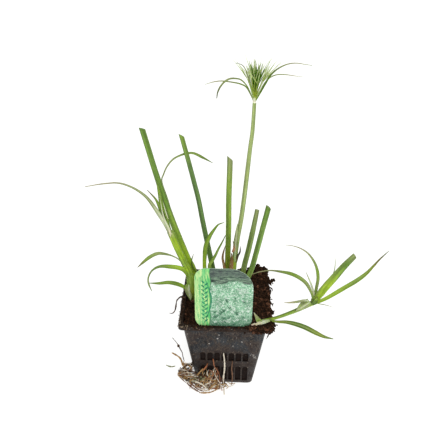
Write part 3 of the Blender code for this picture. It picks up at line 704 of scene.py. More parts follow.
def ray_tissue(name, shades):
    """Rays and their leaflets: each hair-thin, so only its run from foot to tip shows, and some mottling."""
    made, tree, shader = blank(name, 0.7, 0.1)
    place = node(tree, "ShaderNodeUVMap", uv_map="surface")
    along = node(tree, "ShaderNodeSeparateXYZ", {"Vector": place}, out="Y")
    solid = node(tree, "ShaderNodeTexCoord", out="Object")
    body = node(tree, "ShaderNodeValToRGB", {"Fac": along}, stops=run_of(shades))
    body = toned(tree, body, solid, per_mm(0.5), 0.7, 1.3)
    grained(tree, shader, body, solid, per_mm(2.0), 0.2, 0.1)
    lit_through(shader, 0.15, 0.4)
    return made


def pot_plastic():
    """Thin black moulded plastic that has stood in a pond: a blue-grey film of lime and a brown one of peat
    lie on it in drying marks, and dirt is smeared on the rim. Only bare plastic keeps a slight gloss."""
    made, tree, shader = blank("dusty_black_plastic", 0.6, 0.15)
    solid = node(tree, "ShaderNodeTexCoord", out="Object")
    height = node(tree, "ShaderNodeSeparateXYZ", {"Vector": solid}, out="Z")
    runs = node(tree, "ShaderNodeMapping", {"Vector": solid, "Scale": (1.0, 1.0, 0.5)})
    body = laid_on(tree, shade("pot", "plastic"), shade("pot", "film"), runs, per_mm(0.1), 0.44, 0.58, 0.9,
                   6.0, 0.75)
    body = laid_on(tree, body, shade("pot", "loam"), solid, per_mm(0.07), 0.46, 0.56, 0.9, 5.0)
    marks = node(tree, "ShaderNodeTexNoise", {"Vector": runs, "Scale": per_mm(0.14), "Detail": 5.0,
                                              "Roughness": 0.7, "Distortion": 1.5})
    rings = node(tree, "ShaderNodeMath", {0: marks, 1: 0.5}, operation="SUBTRACT")
    rings = node(tree, "ShaderNodeMath", {0: rings}, operation="ABSOLUTE")
    body = painted(tree, body, shade("pot", "dust"), rings, 0.0, 0.016, 0.35, 0.0)
    body = toned(tree, body, solid, per_mm(0.5), 0.6, 1.5, 4.0, 0.75)
    body = painted(tree, body, shade("pot", "dirt"), height, 0.62 * POT_HEIGHT * MM, 0.4 * POT_HEIGHT * MM,
                   end=0.65)
    near_rim = node(tree, "ShaderNodeMapRange", {"Value": height, "From Min": (POT_HEIGHT - 7) * MM,
                                                 "From Max": (POT_HEIGHT - 4) * MM})
    smears = cloudy(tree, solid, per_mm(0.16), 0.36, 0.5, detail=5.0, roughness=0.7)
    smeared = node(tree, "ShaderNodeMath", {0: near_rim, 1: smears}, operation="MULTIPLY")
    body = node(tree, "ShaderNodeMix", {0: smeared, 6: body, 7: shade("pot", "dirt")}, **COLOUR_MIX)
    body = laid_on(tree, body, shade("pot", "dust"), solid, per_mm(0.45), 0.66, 0.72, 0.5, 2.0)
    grained(tree, shader, body, solid, per_mm(0.7), 0.3, 0.15, 4.0)
    gloss = node(tree, "ShaderNodeMapRange", {"Value": marks, "From Min": 0.4, "From Max": 0.65,
                                              "To Min": 0.42, "To Max": 0.7})
    tree.links.new(gloss, shader.inputs["Roughness"])
    return made


def worn_edge():
    """The pot's moulded edges, greyer than its walls because dust and scuffs catch on them."""
    made, tree, shader = blank("scuffed_plastic_edge", 0.7, 0.3)
    solid = node(tree, "ShaderNodeTexCoord", out="Object")
    body = laid_on(tree, shade("pot", "film"), shade("pot", "dust"), solid, per_mm(0.18), 0.5, 0.68, 0.8, 4.0)
    body = laid_on(tree, body, shade("pot", "plastic"), solid, per_mm(0.12), 0.44, 0.56, 1.0, 4.0)
    grained(tree, shader, body, solid, per_mm(0.9), 0.3, 0.15, 4.0)
    return made


def dry_specks(name, colour):
    """Lime and loam dried on the wall as small flecks: chalky, without any gloss."""
    made, tree, shader = blank(name, 0.95, 0.2)
    solid = node(tree, "ShaderNodeTexCoord", out="Object")
    body = toned(tree, colour, solid, per_mm(0.9), 0.6, 1.25)
    grained(tree, shader, body, solid, per_mm(1.2), 0.4, 0.2, 4.0)
    return made


def peat_finish(name, shades):
    """Peat: fibrous crumbs that are almost black where moist, with rusty fibres and bark between them. Behind
    the slots, painted shade makes it black. shades are its hollows, its crumbs and its fibres."""
    made, tree, shader = blank(name, 0.95, 0.15)
    solid = node(tree, "ShaderNodeTexCoord", out="Object")
    height = node(tree, "ShaderNodeSeparateXYZ", {"Vector": solid}, out="Z")
    coarse = node(tree, "ShaderNodeTexNoise", {"Vector": solid, "Scale": per_mm(0.4), "Detail": 6.0,
                                               "Roughness": 0.8})
    body = node(tree, "ShaderNodeValToRGB", {"Fac": coarse},
                stops=[(0.4, shades[0]), (0.56, shades[1]), (0.68, shades[2])])
    threads = node(tree, "ShaderNodeMapping",
                   {"Vector": solid, "Rotation": (0.4, 0.3, 0.5), "Scale": (3.0, 0.4, 1.0)})
    body = laid_on(tree, body, shades[2], threads, per_mm(0.6), 0.62, 0.72, 0.7)
    # Painted shade: low in the pot, behind the slots, the peat turns almost black
    body = painted(tree, body, linear("17100e"), height, 0.6 * POT_HEIGHT * MM, 0.75 * POT_HEIGHT * MM, 0.85,
                   0.0)
    finished(tree, shader, body, coarse, 0.8, 0.6)
    return made


def root_tissue(name, word, stain):
    """Roots: papery, knotted skins with darker bands where the soil has stained them."""
    made, tree, shader = blank(name, 0.7, 0.3)
    solid = node(tree, "ShaderNodeTexCoord", out="Object")
    body = laid_on(tree, shade("roots", word), shade("roots", "brown"), solid, per_mm(0.3), 0.42, 0.62, stain,
                   4.0, 0.7)
    body = laid_on(tree, body, shade("roots", "dark"), solid, per_mm(0.45), 0.58, 0.68, stain, 4.0, 0.7)
    body = toned(tree, body, solid, per_mm(1.4), 0.7, 1.3)
    grained(tree, shader, body, solid, per_mm(1.0), 0.5, 0.2, 3.0)
    return made


# ---------------------------------------------------------------- pot and peat

# Flecks dried on the front wall: across, up and radius; and smudges of many small ones: across, up and spread
WALL_FLECKS = ((-36.5, 83.6, 0.5), (-5.2, 83.7, 0.8), (-6.7, 78.1, 0.8), (-15.1, 69.6, 0.9), (8.7, 66.8, 0.8),
               (17.4, 74.0, 0.9), (-26.0, 77.0, 0.4), (12.0, 80.0, 0.4), (26.0, 71.0, 0.5), (-1.0, 73.0, 0.4))
WALL_SMUDGES = ((28.2, 52.9, 1.6), (31.5, 49.0, 0.8))
SMUDGE_FLECKS = 14
LOAM_FLECKS = 170
LOAM_REACH = ((-38, 38), (52, 92))      # the part of the wall that they lie on, across and up
LOAM_MARGIN = 3                         # how far they keep from the wall's sides
SHARP_EDGE = 35                         # degrees past which one of the pot's edges is rounded


def wall_half(height):
    """Half the outside width of the pot's tapered wall at a height."""
    return WALL_HALF_AT_BASE + (WALL_HALF_AT_RIM - WALL_HALF_AT_BASE) * height / POT_HEIGHT


def on_front(x, z, depth=0.0):
    """A place on the pot's front wall, or so deep behind its face."""
    return Vector((x, depth - wall_half(z), z))


def build_pot():
    """The pot: the CAD shape with its facets joined and its moulded edges rounded, and what dried on it."""
    bm = merged_copy("pot")
    bmesh.ops.dissolve_limit(bm, angle_limit=math.radians(1), verts=bm.verts, edges=bm.edges)
    made = piece(bm, "pot_shell", [pot_plastic(), worn_edge()], ["pot"], sharp=SHARP_EDGE)
    soften = made.modifiers.new("Moulded edges", "BEVEL")
    soften.width = settings("pot").rounding
    soften.segments = 2
    soften.limit_method = "ANGLE"
    soften.angle_limit = math.radians(SHARP_EDGE)
    soften.material = 1

    rng = random.Random(17)
    flecks = Heap()
    for x, z, radius in WALL_FLECKS:
        lump(flecks.next(), on_front(x, z), radius, rng, 2, flat=0.2)
    for x, z, spread in WALL_SMUDGES:
        for _ in range(SMUDGE_FLECKS):
            spot = on_front(x + rng.gauss(0, spread), z + rng.gauss(0, spread))
            lump(flecks.next(), spot, rng.uniform(0.2, 0.6), rng, flat=0.15)
    for _ in range(LOAM_FLECKS):
        x, z = (rng.uniform(*reach) for reach in LOAM_REACH)
        if abs(x) < wall_half(z) - LOAM_MARGIN:
            lump(flecks.next(), on_front(x, z), rng.uniform(0.12, 0.32), rng, material=1, flat=0.3)
    finishes = [dry_specks("lime_flecks", linear("a8a29c")), dry_specks("loam_flecks", linear("75604f"))]
    piece(flecks.all(), "dried_flecks", finishes, slot=SLOT_OF["pot"])


def rough_peat():
    """The CAD peat as a fine even mesh, its outside broken up into crumbs."""
    values = settings("peat")
    bm = merged_copy("soil")
    resize(bm, MM)
    mesh = mesh_of(bm, "peat_block")
    block = placed("peat_block", mesh)
    cells = block.modifiers.new("Cells", "REMESH")
    cells.mode = "VOXEL"
    cells.voxel_size = values.grain
    even = block.evaluated_get(bpy.context.evaluated_depsgraph_get()).data
    bm = bmesh.new()
    bm.from_mesh(even)
    bpy.data.objects.remove(block)
    bpy.data.meshes.remove(mesh)
    resize(bm, 1 / MM)
    bm.normal_update()
    relief = values.relief / MM
    moves = []
    for vert in bm.verts:
        crumbly = noise.voronoi(vert.co * 0.3)[0]
        bump = 0.5 - crumbly[0] * 1.1 + 0.5 * noise.noise(vert.co * 0.9) + 0.8 * noise.noise(vert.co * 0.16)
        reach = relief * bump * 0.75
        if vert.co.z <= OPEN_PEAT:
            reach = min(relief * bump * 0.25, 0)    # behind the wall it only gets hollows
        moves.append(vert.normal * reach)
    for vert, move in zip(bm.verts, moves):
        vert.co += move
    return bm


# The peat's finishes, by their place among those of the crumbs
MOIST, DRY, BARK, DUST = range(4)
CLUMP_CRUMBS = 16
# Peat that lies along the rim: from, to, scatter along each axis, crumbs, the largest one's radius, finishes
RIM_LITTER = (((43, -44, 97.5), (43, 44, 97.8), (1.0, 1.0, 0.7), 420, 2.2),
              ((45.3, -43, 94.5), (45.3, 44, 95), (0.5, 1.0, 1.8), 170, 1.5),
              ((22, -43, 97.4), (44, -43.5, 97.8), (2.0, 0.9, 0.6), 150, 1.8),
              ((24, -45.2, 95.5), (45, -45.2, 95), (2.0, 0.5, 1.4), 110, 1.5),
              ((-33, -43, 97.0), (24, -43, 97.0), (1.5, 0.9, 0.2), 240, 0.8),
              ((-29, -45.2, 95.5), (24, -45.2, 95.5), (1.5, 0.2, 1.0), 100, 0.6),
              ((-42.6, -28, 97.2), (-43, 40, 97.2), (0.8, 1.5, 0.3), 190, 0.9),
              ((-45.3, -40, 96.6), (-45.1, 10, 96.8), (0.3, 1.5, 0.6), 40, 0.6, (DUST, DUST, DRY)),
              ((-40, -45.4, 96.4), (-10, -45.4, 96.4), (1.5, 0.2, 0.7), 30, 0.6, (DUST, BARK)),
              ((-44, -44.5, 97.2), (-34, -44.3, 97.2), (0.8, 0.6, 0.15), 34, 0.75, (DUST, DUST, DRY)),
              ((-44, -43, 97.2), (-43.6, -29, 97.2), (0.5, 1.2, 0.15), 30, 0.7, (DUST, DUST, DRY)),
              ((-10, 43, 97.4), (44, 43, 98.0), (1.5, 1.0, 0.6), 160, 2.0),
              ((-43, 43, 97.2), (-10, 43, 97.2), (1.5, 1.0, 0.3), 60, 1.2))
# Clumps that lie on the rim or hang over it: where, and their radius
PEAT_CLUMPS = ((31, 41, 102, 4.6), (40, 41, 101.5, 4.8), (43, 37, 97, 4.2), (46, 32, 92, 3.6),
               (50, 35, 90.5, 2.6), (36, 42, 97, 4.5), (26, 42, 99, 3.0), (44, 25, 98, 3.2),
               (44.5, 10, 97, 2.6), (44, -6, 97, 2.4), (44.5, -20, 96, 3.2), (45.5, -34, 95.5, 3.0),
               (45, -41, 95, 3.2), (36, -44, 96.5, 2.6), (47.5, -38, 97, 1.8), (27, -44.5, 96.5, 1.8),
               (-38, 38, 95, 2.5))
# Single crumbs on the overhang at the pot's right side: where, radius and finish
LOOSE_CRUMBS = ((49.7, 34, 86, 0.9, MOIST), (47.8, -10, 88.8, 0.8, MOIST), (49.9, -10, 88.8, 0.7, DRY),
                (50.4, -38, 97.2, 1.0, MOIST), (49.0, -6, 95, 0.6, MOIST), (48.2, 4, 92, 0.9, MOIST),
                (47.6, 16, 90, 0.8, MOIST), (53.5, 36, 90.2, 1.0, MOIST), (47.5, -14, 93, 0.7, MOIST))
# Fibrous threads of peat that hang over the rim
PEAT_WISPS = ([(42.5, -45.5, 94), (41.8, -46, 91), (41, -46, 88), (40.1, -45.5, 85)],
              [(47, -4, 94), (48.2, -5, 93), (48.6, -7, 92.5), (49, -8, 92)],
              [(46.5, 20, 95), (49.5, 19, 93), (49.8, 18, 91), (49.4, 18, 90)])


def strew(heap, rng, start, end, spread, count, largest, kinds=(MOIST, MOIST, MOIST, DRY, BARK)):
    """Drop crumbs of many sizes along a line, scattered by spread around it."""
    start, end = Vector(start), Vector(end)
    for _ in range(count):
        spot = start.lerp(end, rng.random()) + Vector([rng.gauss(0, share) for share in spread])
        radius = largest * rng.uniform(0.3, 1.0) ** 1.6
        lump(heap.next(), spot, radius, rng, 2 if radius > 1 else 1, rng.choice(kinds))


def build_peat():
    """The peat, the loose crumbs and bark on it, and the clumps that lie on and hang over the rim."""
    values = settings("peat")
    shades = [shade("peat", word) for word in ("dark", "light", "bark")]
    moist = peat_finish("moist_peat", shades)
    dry = peat_finish("dry_peat_crumbs", shades)
    dust = dry_specks("dusty_grains", shade("pot", "dust"))
    bark = peat_finish("bark_specks", [shades[1], shades[2], linear("93705e")])
    bm = rough_peat()
    top = [vert.co.copy() for vert in bm.verts if vert.co.z > OPEN_PEAT and vert.normal.z > 0.1]
    top += [vert.co.copy() for vert in bm.verts if vert.co.z > POT_HEIGHT and vert.normal.z <= 0.1
            and vert.normal.y < 0.3]
    piece(bm, "peat", [moist], ["soil"], sharp=180)

    rng = random.Random(5)
    crumbs = Heap()
    for _ in range(values.crumbs):
        spot = rng.choice(top)
        kind = rng.choices((MOIST, DRY, BARK), (7, 4, 1))[0]
        radius = 0.4 + 1.5 * rng.random() ** 3
        lump(crumbs.next(), spot, radius, rng, 2 if radius > 1.1 else 1, kind)
    for line in RIM_LITTER:
        strew(crumbs, rng, *line)
    for x, y, z, radius in PEAT_CLUMPS:
        for _ in range(CLUMP_CRUMBS):
            away = Vector((rng.gauss(0, 0.5), rng.gauss(0, 0.45), rng.gauss(0, 0.45))) * radius
            lump(crumbs.next(), Vector((x, y, z)) + away, rng.uniform(0.2, 0.6) * radius, rng, 2,
                 rng.choice((MOIST, MOIST, DRY)))
    for x, y, z, radius, kind in LOOSE_CRUMBS:
        lump(crumbs.next(), Vector((x, y, z)), radius, rng, 2, kind)
    for _ in range(values.fibres):
        spot = rng.choice(top)
        turn = rng.uniform(0, 2 * math.pi)
        along = Vector((math.cos(turn), math.sin(turn), rng.uniform(-0.1, 0.35))) * rng.uniform(1.5, 4)
        sag = Vector((rng.uniform(-1, 1), rng.uniform(-1, 1), rng.uniform(0.2, 1.2)))
        strand(crumbs.next(), [spot - along, spot + sag, spot + along], [0.12, 0.2, 0.1], sides=4,
               material=rng.choice((DRY, BARK)))
    for points in PEAT_WISPS:
        strand(crumbs.next(), points, [0.8, 0.7, 0.4, 0.2], sides=5, rough=0.8)
    piece(crumbs.all(), "peat_crumbs", [moist, dry, bark, dust], slot=SLOT_OF["soil"], sharp=30)


# ---------------------------------------------------------------- label

LABEL_LEAN = math.radians(4)
LABEL_PLACE = Matrix.Translation((-1.2, -41.2, 93.4)) @ Matrix.Rotation(-LABEL_LEAN, 4, "X")
# Radii of its corners in millimetres, by whether each is on the right and in the upper half
LABEL_CORNERS = {(1, 0): 13.0, (1, 1): 22.0, (0, 1): 11.0, (0, 0): 13.0}
CORNER_SEGMENTS = 12
FACE_ORDER = Vector((1, 300, 20))       # weighs a face's centre, so that each face gets its own rank
# The stake narrows to this share of its width, and slopes back into the pot on its way down
STAKE = {"width": 14.0, "tip": 0.35, "length": 34.0, "slope": 0.2}
# The inks of the raised print, by their place among its materials, and how much of each motif there is
TEAL, CREAM, FOREST, WHITE = range(4)
SPRIG_LEAVES = 10
SEED_DOTS = 18
GRASS_TUFTS = 64
TUFT_BLADES = 5


def printed_card():
    """The label's print, in matt ink on card: a lime side band with a wavy edge, and a misty meadow, pale
    and mottled, under dark hills. It is a made-up design in the usual colours of such labels."""
    values = settings("label")
    made, tree, shader = blank("printed_card", 0.45, 0.35)
    place = node(tree, "ShaderNodeUVMap", uv_map="surface")
    across = node(tree, "ShaderNodeSeparateXYZ", {"Vector": place})
    up = across.node.outputs["Y"]
    card = node(tree, "ShaderNodeMapping",
                {"Vector": place, "Scale": (values.width / MM, values.height / MM, 1.0)})

    spray = node(tree, "ShaderNodeTexNoise", {"Vector": card, "Scale": 0.42, "Detail": 5.0,
                                              "Roughness": 0.8})
    body = node(tree, "ShaderNodeValToRGB", {"Fac": spray},
                stops=[(0.38, linear("477f60")), (0.46, linear("7fb68f")), (0.54, shade("label", "mint")),
                       (0.63, linear("e2f2e4"))])
    body = laid_on(tree, body, linear("4a8263"), card, 0.9, 0.54, 0.62, 0.7, 2.0)
    body = laid_on(tree, body, linear("e9f6ea"), card, 0.7, 0.56, 0.63, 0.8, 2.0)
    body = toned(tree, body, card, 0.11, 0.76, 1.2, 2.0)
    body = painted(tree, body, linear("3a6c50"), up, 0.34, 0.06, end=0.4)
    grass = node(tree, "ShaderNodeMapping", {"Vector": card, "Location": (9.0, 4.0, 0.0),
                                             "Scale": (1.5, 0.3, 1.0)})
    blades = cloudy(tree, grass, 1.0, 0.42, 0.56)
    low = node(tree, "ShaderNodeMapRange", {"Value": up, "From Min": 0.24, "From Max": 0.06})
    grassy = node(tree, "ShaderNodeMath", {0: blades, 1: low}, operation="MULTIPLY")
    body = node(tree, "ShaderNodeMix", {0: grassy, 6: body, 7: linear("3f7557")}, **COLOUR_MIX)

    strata = node(tree, "ShaderNodeMapping", {"Vector": card, "Scale": (0.14, 1.1, 1.0)})
    layers = node(tree, "ShaderNodeTexNoise", {"Vector": strata, "Scale": 0.7, "Detail": 4.0,
                                               "Roughness": 0.7})
    hills = node(tree, "ShaderNodeValToRGB", {"Fac": layers},
                 stops=[(0.43, linear("22352b")), (0.5, linear("54705e")), (0.54, linear("94b392")),
                        (0.6, linear("4c5054"))])
    swell = cloudy(tree, card, 0.07, 0.3, 0.7, -0.06, 0.06, 2.0)
    ridge = node(tree, "ShaderNodeMath", {0: up, 1: swell}, operation="ADD")
    body = painted(tree, body, hills, ridge, 0.76, 0.79)
    body = painted(tree, body, linear("42474c"), ridge, 0.87, 0.9, end=0.45)

    band = node(tree, "ShaderNodeValToRGB", {"Fac": across},
                stops=[(0.03, linear("b2e296")), (0.13, linear("84d487")), (0.26, shade("label", "lime"))])
    rays = node(tree, "ShaderNodeMapping", {"Vector": card, "Scale": (0.9, 0.12, 1.0)})
    band = laid_on(tree, band, linear("ddf0a4"), rays, 0.6, 0.48, 0.6, 0.8)
    band = laid_on(tree, band, linear("3db062"), rays, 0.8, 0.52, 0.62, 0.8)
    wave = node(tree, "ShaderNodeMath", {0: up, 1: 22.0}, operation="MULTIPLY")
    wave = node(tree, "ShaderNodeMath", {0: wave}, operation="SINE")
    wave = node(tree, "ShaderNodeMath", {0: wave, 1: 0.01}, operation="MULTIPLY")
    edge = node(tree, "ShaderNodeMath", {0: across, 1: wave}, operation="ADD")
    body = painted(tree, band, body, edge, 0.262, 0.27)
    seam = node(tree, "ShaderNodeMath", {0: edge, 1: 0.266}, operation="SUBTRACT")
    seam = node(tree, "ShaderNodeMath", {0: seam}, operation="ABSOLUTE")
    body = painted(tree, body, shade("label", "forest"), seam, 0.004, 0.012, 0.75, 0.0)
    grained(tree, shader, body, card, 2.0, 0.08, 0.1)
    return made


def flat_ink(name, colour):
    """Ink of one hue over the print; its grain keeps it from looking like a cut-out."""
    made, tree, shader = blank(name, 0.5, 0.35)
    solid = node(tree, "ShaderNodeTexCoord", out="Object")
    body = toned(tree, colour, solid, per_mm(0.8), 0.75, 1.25, 4.0)
    grained(tree, shader, body, solid, per_mm(2.0), 0.08, 0.1)
    return made


def build_label():
    """The label: a card with rounded corners on a stake, and the motifs printed on its front."""
    values = settings("label")
    width, height = values.width / MM, values.height / MM
    thickness = values.thickness / MM
    bm = new_bmesh()
    corners = bmesh.ops.create_grid(bm, x_segments=1, y_segments=1, size=0.5)["verts"]
    for vert in corners:
        vert.co = Vector((vert.co.x * width, -thickness / 2, (vert.co.y + 0.5) * height))
    for vert in corners:
        radius = LABEL_CORNERS[(int(vert.co.x > 0), int(vert.co.z > height / 2))]
        bmesh.ops.bevel(bm, geom=[vert], offset=radius, offset_type="OFFSET", segments=CORNER_SEGMENTS,
                        profile=0.5, affect="VERTICES", material=-1)
    uv = bm.loops.layers.uv.active
    for face in bm.faces:
        for loop in face.loops:
            loop[uv].uv = (loop.vert.co.x / width + 0.5, loop.vert.co.z / height)
    swept = bmesh.ops.extrude_face_region(bm, geom=bm.faces[:], use_keep_orig=True)
    back = [item for item in swept["geom"] if isinstance(item, bmesh.types.BMVert)]
    bmesh.ops.translate(bm, vec=(0, thickness, 0), verts=back)
    # The operator extrudes the edge's faces in another order in each run, so they are sorted
    bm.faces.sort(key=lambda face: face.calc_center_median().dot(FACE_ORDER))
    for face in bm.faces:
        if max(vert.co.y for vert in face.verts) > 0:       # the back and the edge are bare card
            face.material_index = 1
    stake = bmesh.ops.create_cube(bm, size=1)["verts"]
    for vert in stake:
        low = vert.co.z < 0
        vert.co = Vector((vert.co.x * STAKE["width"] * (STAKE["tip"] if low else 1),
                          vert.co.y * thickness * 0.98, -STAKE["length"] if low else 1.0))
        vert.co.y -= STAKE["slope"] * min(vert.co.z, 0)
    bmesh.ops.transform(bm, matrix=LABEL_PLACE, verts=bm.verts)
    card = flat_ink("bare_card", shade("label", "border"))
    piece(bm, "label_plate", [printed_card(), card], ["plant_label"], sharp=40)
    build_print(width, height, thickness)


def build_print(width, height, thickness):
    """Raised ink: a sprig that climbs the side band, seed dots beside it, and tufts of grass on the meadow.

    Across is measured from the label's middle and up from its lower end.
    """
    ink = Heap()
    out = Vector((0, -1, 0))
    face = -thickness / 2 - 0.05
    stem = -width / 2 + width * 0.165

    def leaf(x, z, angle, length, wide, colour):
        tip = Vector((math.sin(angle), 0, math.cos(angle))) * length
        start = Vector((x, face, z))
        bend = start + tip * 0.5 + Vector((tip.z, 0, -tip.x)) * 0.12
        blade(ink.next(), wide, [start, bend, start + tip], face=out, fold=0.0, spread=(0.3, 0.9, 0.9, 0.1),
              columns=2, material=colour, tip=0.05)

    leaf(stem, 6, 0.0, height * 0.8, 1.1, TEAL)
    for step in range(SPRIG_LEAVES):
        z = 8.5 + step * 4.7
        leaf(stem, z, 0.8, 4.6, 1.8, TEAL)
        leaf(stem, z + 2.0, -0.8, 4.0, 1.6, TEAL)
    for step in range(SEED_DOTS):
        leaf(-width / 2 + 3.2 + 0.7 * math.sin(step * 1.3), 10 + step * 2.3, 0.2, 1.2, 0.9, CREAM)
    rng = random.Random(3)
    for _ in range(GRASS_TUFTS):
        x, z = rng.uniform(-9, 25), rng.uniform(4, 47)
        if (x - 22) ** 2 + (z - 3) ** 2 < 30:
            continue                        # too near the rounded corner
        scale = 0.55 + 0.4 * rng.random() - 0.004 * z
        colour = FOREST if rng.random() < 0.75 - 0.012 * z else WHITE
        for k in range(TUFT_BLADES):
            angle = (k - TUFT_BLADES // 2) * 0.3 + rng.uniform(-0.1, 0.1)
            leaf(x, z, angle, scale * rng.uniform(3.5, 6.5), 0.6 * scale, colour)
    bm = ink.all()
    bmesh.ops.transform(bm, matrix=LABEL_PLACE, verts=bm.verts)
    inks = [flat_ink("teal_ink", shade("label", "teal")), flat_ink("cream_ink", linear("d9efb4")),
            flat_ink("forest_ink", linear("3f7558")), flat_ink("white_ink", linear("d8eddc"))]
    piece(bm, "label_print", inks, slot=SLOT_OF["plant_label"], thickness=0.06 * MM)


# ---------------------------------------------------------------- culms, stems and blades

# Each culm or stem: its node, its tissue, radii from foot to top, how it is cut and turned, and its route
CULMS = (
    ("culm_tall_left", "tall_culm_rind", [3.9, 3.7, 3.3, 3.0, 2.6, 2.45], {"cut": (-0.3, -0.3), "turn": 2.4},
     [(-27, 9, 76), (-33.5, 8, 123.5), (-38, 7.5, 137.5), (-45.5, 7, 162.5), (-52, 6.5, 185.5),
      (-57.5, 6, 207.5), (-64.5, 5, 238.5), (-68.5, 4.5, 258), (-72.5, 4, 277.5)]),
    ("culm_second_left", "blue_culm_rind", [2.9, 2.6, 2.3, 2.05], {"cut": (-0.6, -0.3), "turn": 2.4},
     [(-7, 14, 76), (-14, 16, 122), (-20, 18, 155.5), (-24, 19, 178.5), (-27.5, 20, 200.5), (-32, 21.5, 221),
      (-36.5, 22.5, 241), (-42, 24, 264)]),
    ("culm_middle", "middle_culm_rind", [2.9, 2.75, 2.5], {"cut": (-0.95, -0.3), "turn": 2.2},
     [(2, 20, 76), (1.5, 19, 120), (1.8, 17, 169), (1.5, 16, 203.5), (1.9, 14.5, 235.5), (1.9, 14, 247)]),
    ("culm_umbel", "light_culm_rind", [2.9, 2.6, 2.15, 1.95, 1.5], {"turn": 1.2},
     [(4.4, 7, 76), (8, 6, 140.5), (10, 6, 165), (13, 6, 188), (15, 6, 209.5), (16.5, 5.5, 230.5),
      (18.5, 5, 259.5), (20, 4.5, 277.5), (20.5, 4, 301)]),
    ("culm_short_inner", "grey_culm_rind", [3.2, 2.9, 2.8, 2.7, 2.1], {"cut": (-0.3, -0.3), "turn": 2.0},
     [(14, 16, 76), (18.4, 18, 120), (22.4, 18.5, 144), (26, 19.5, 168), (27.5, 19.5, 179.5), (29, 20, 191)]),
    ("culm_short_outer", "bright_culm_rind", [2.8, 2.6, 2.5], {"cut": (-0.85, -0.2), "turn": 2.4},
     [(16, 14, 76), (19, 14, 100), (26, 14, 123.5), (30.5, 14, 148), (34.5, 14, 172), (36.5, 14, 183.5),
      (39, 14, 198)]),
)
SIDE_STEMS = (
    ("left_shoot_stem", "side_stem_rind", [4.2, 4.3, 3.9, 3.7, 3.3, 3.2, 3.1], {"turn": 2.2},
     [(-33, 2, 76), (-35.5, 1, 104), (-36.5, 0, 126), (-42, -1.5, 144.5), (-47, -2, 159), (-50, -2, 168.5),
      (-53, -2.2, 178)]),
    ("right_shoot_stem", "yellow_stem_rind", [1.9, 1.8, 1.6, 1.5, 1.6, 1.8, 2.2, 2.4], {"turn": 1.0},
     [(24, -34, 87), (28, -35.5, 93), (33, -36, 98), (39, -34.5, 99.2), (45.5, -33, 100),
      (54.5, -31.5, 102.8), (63, -30.5, 106.6), (70, -30, 110.4), (77, -29, 114.6), (85, -28.5, 119.3)]),
    ("right_shoot_culm", "leaning_culm_rind", [2.8, 3.4, 3.3, 2.9, 2.3], {"cut": (-1.2, 0.0), "turn": 2.2},
     [(84, -28.5, 119.5), (93.5, -25.5, 135), (101.5, -23, 146.5), (109.5, -20, 157.5), (117.5, -18, 167.5)]),
)

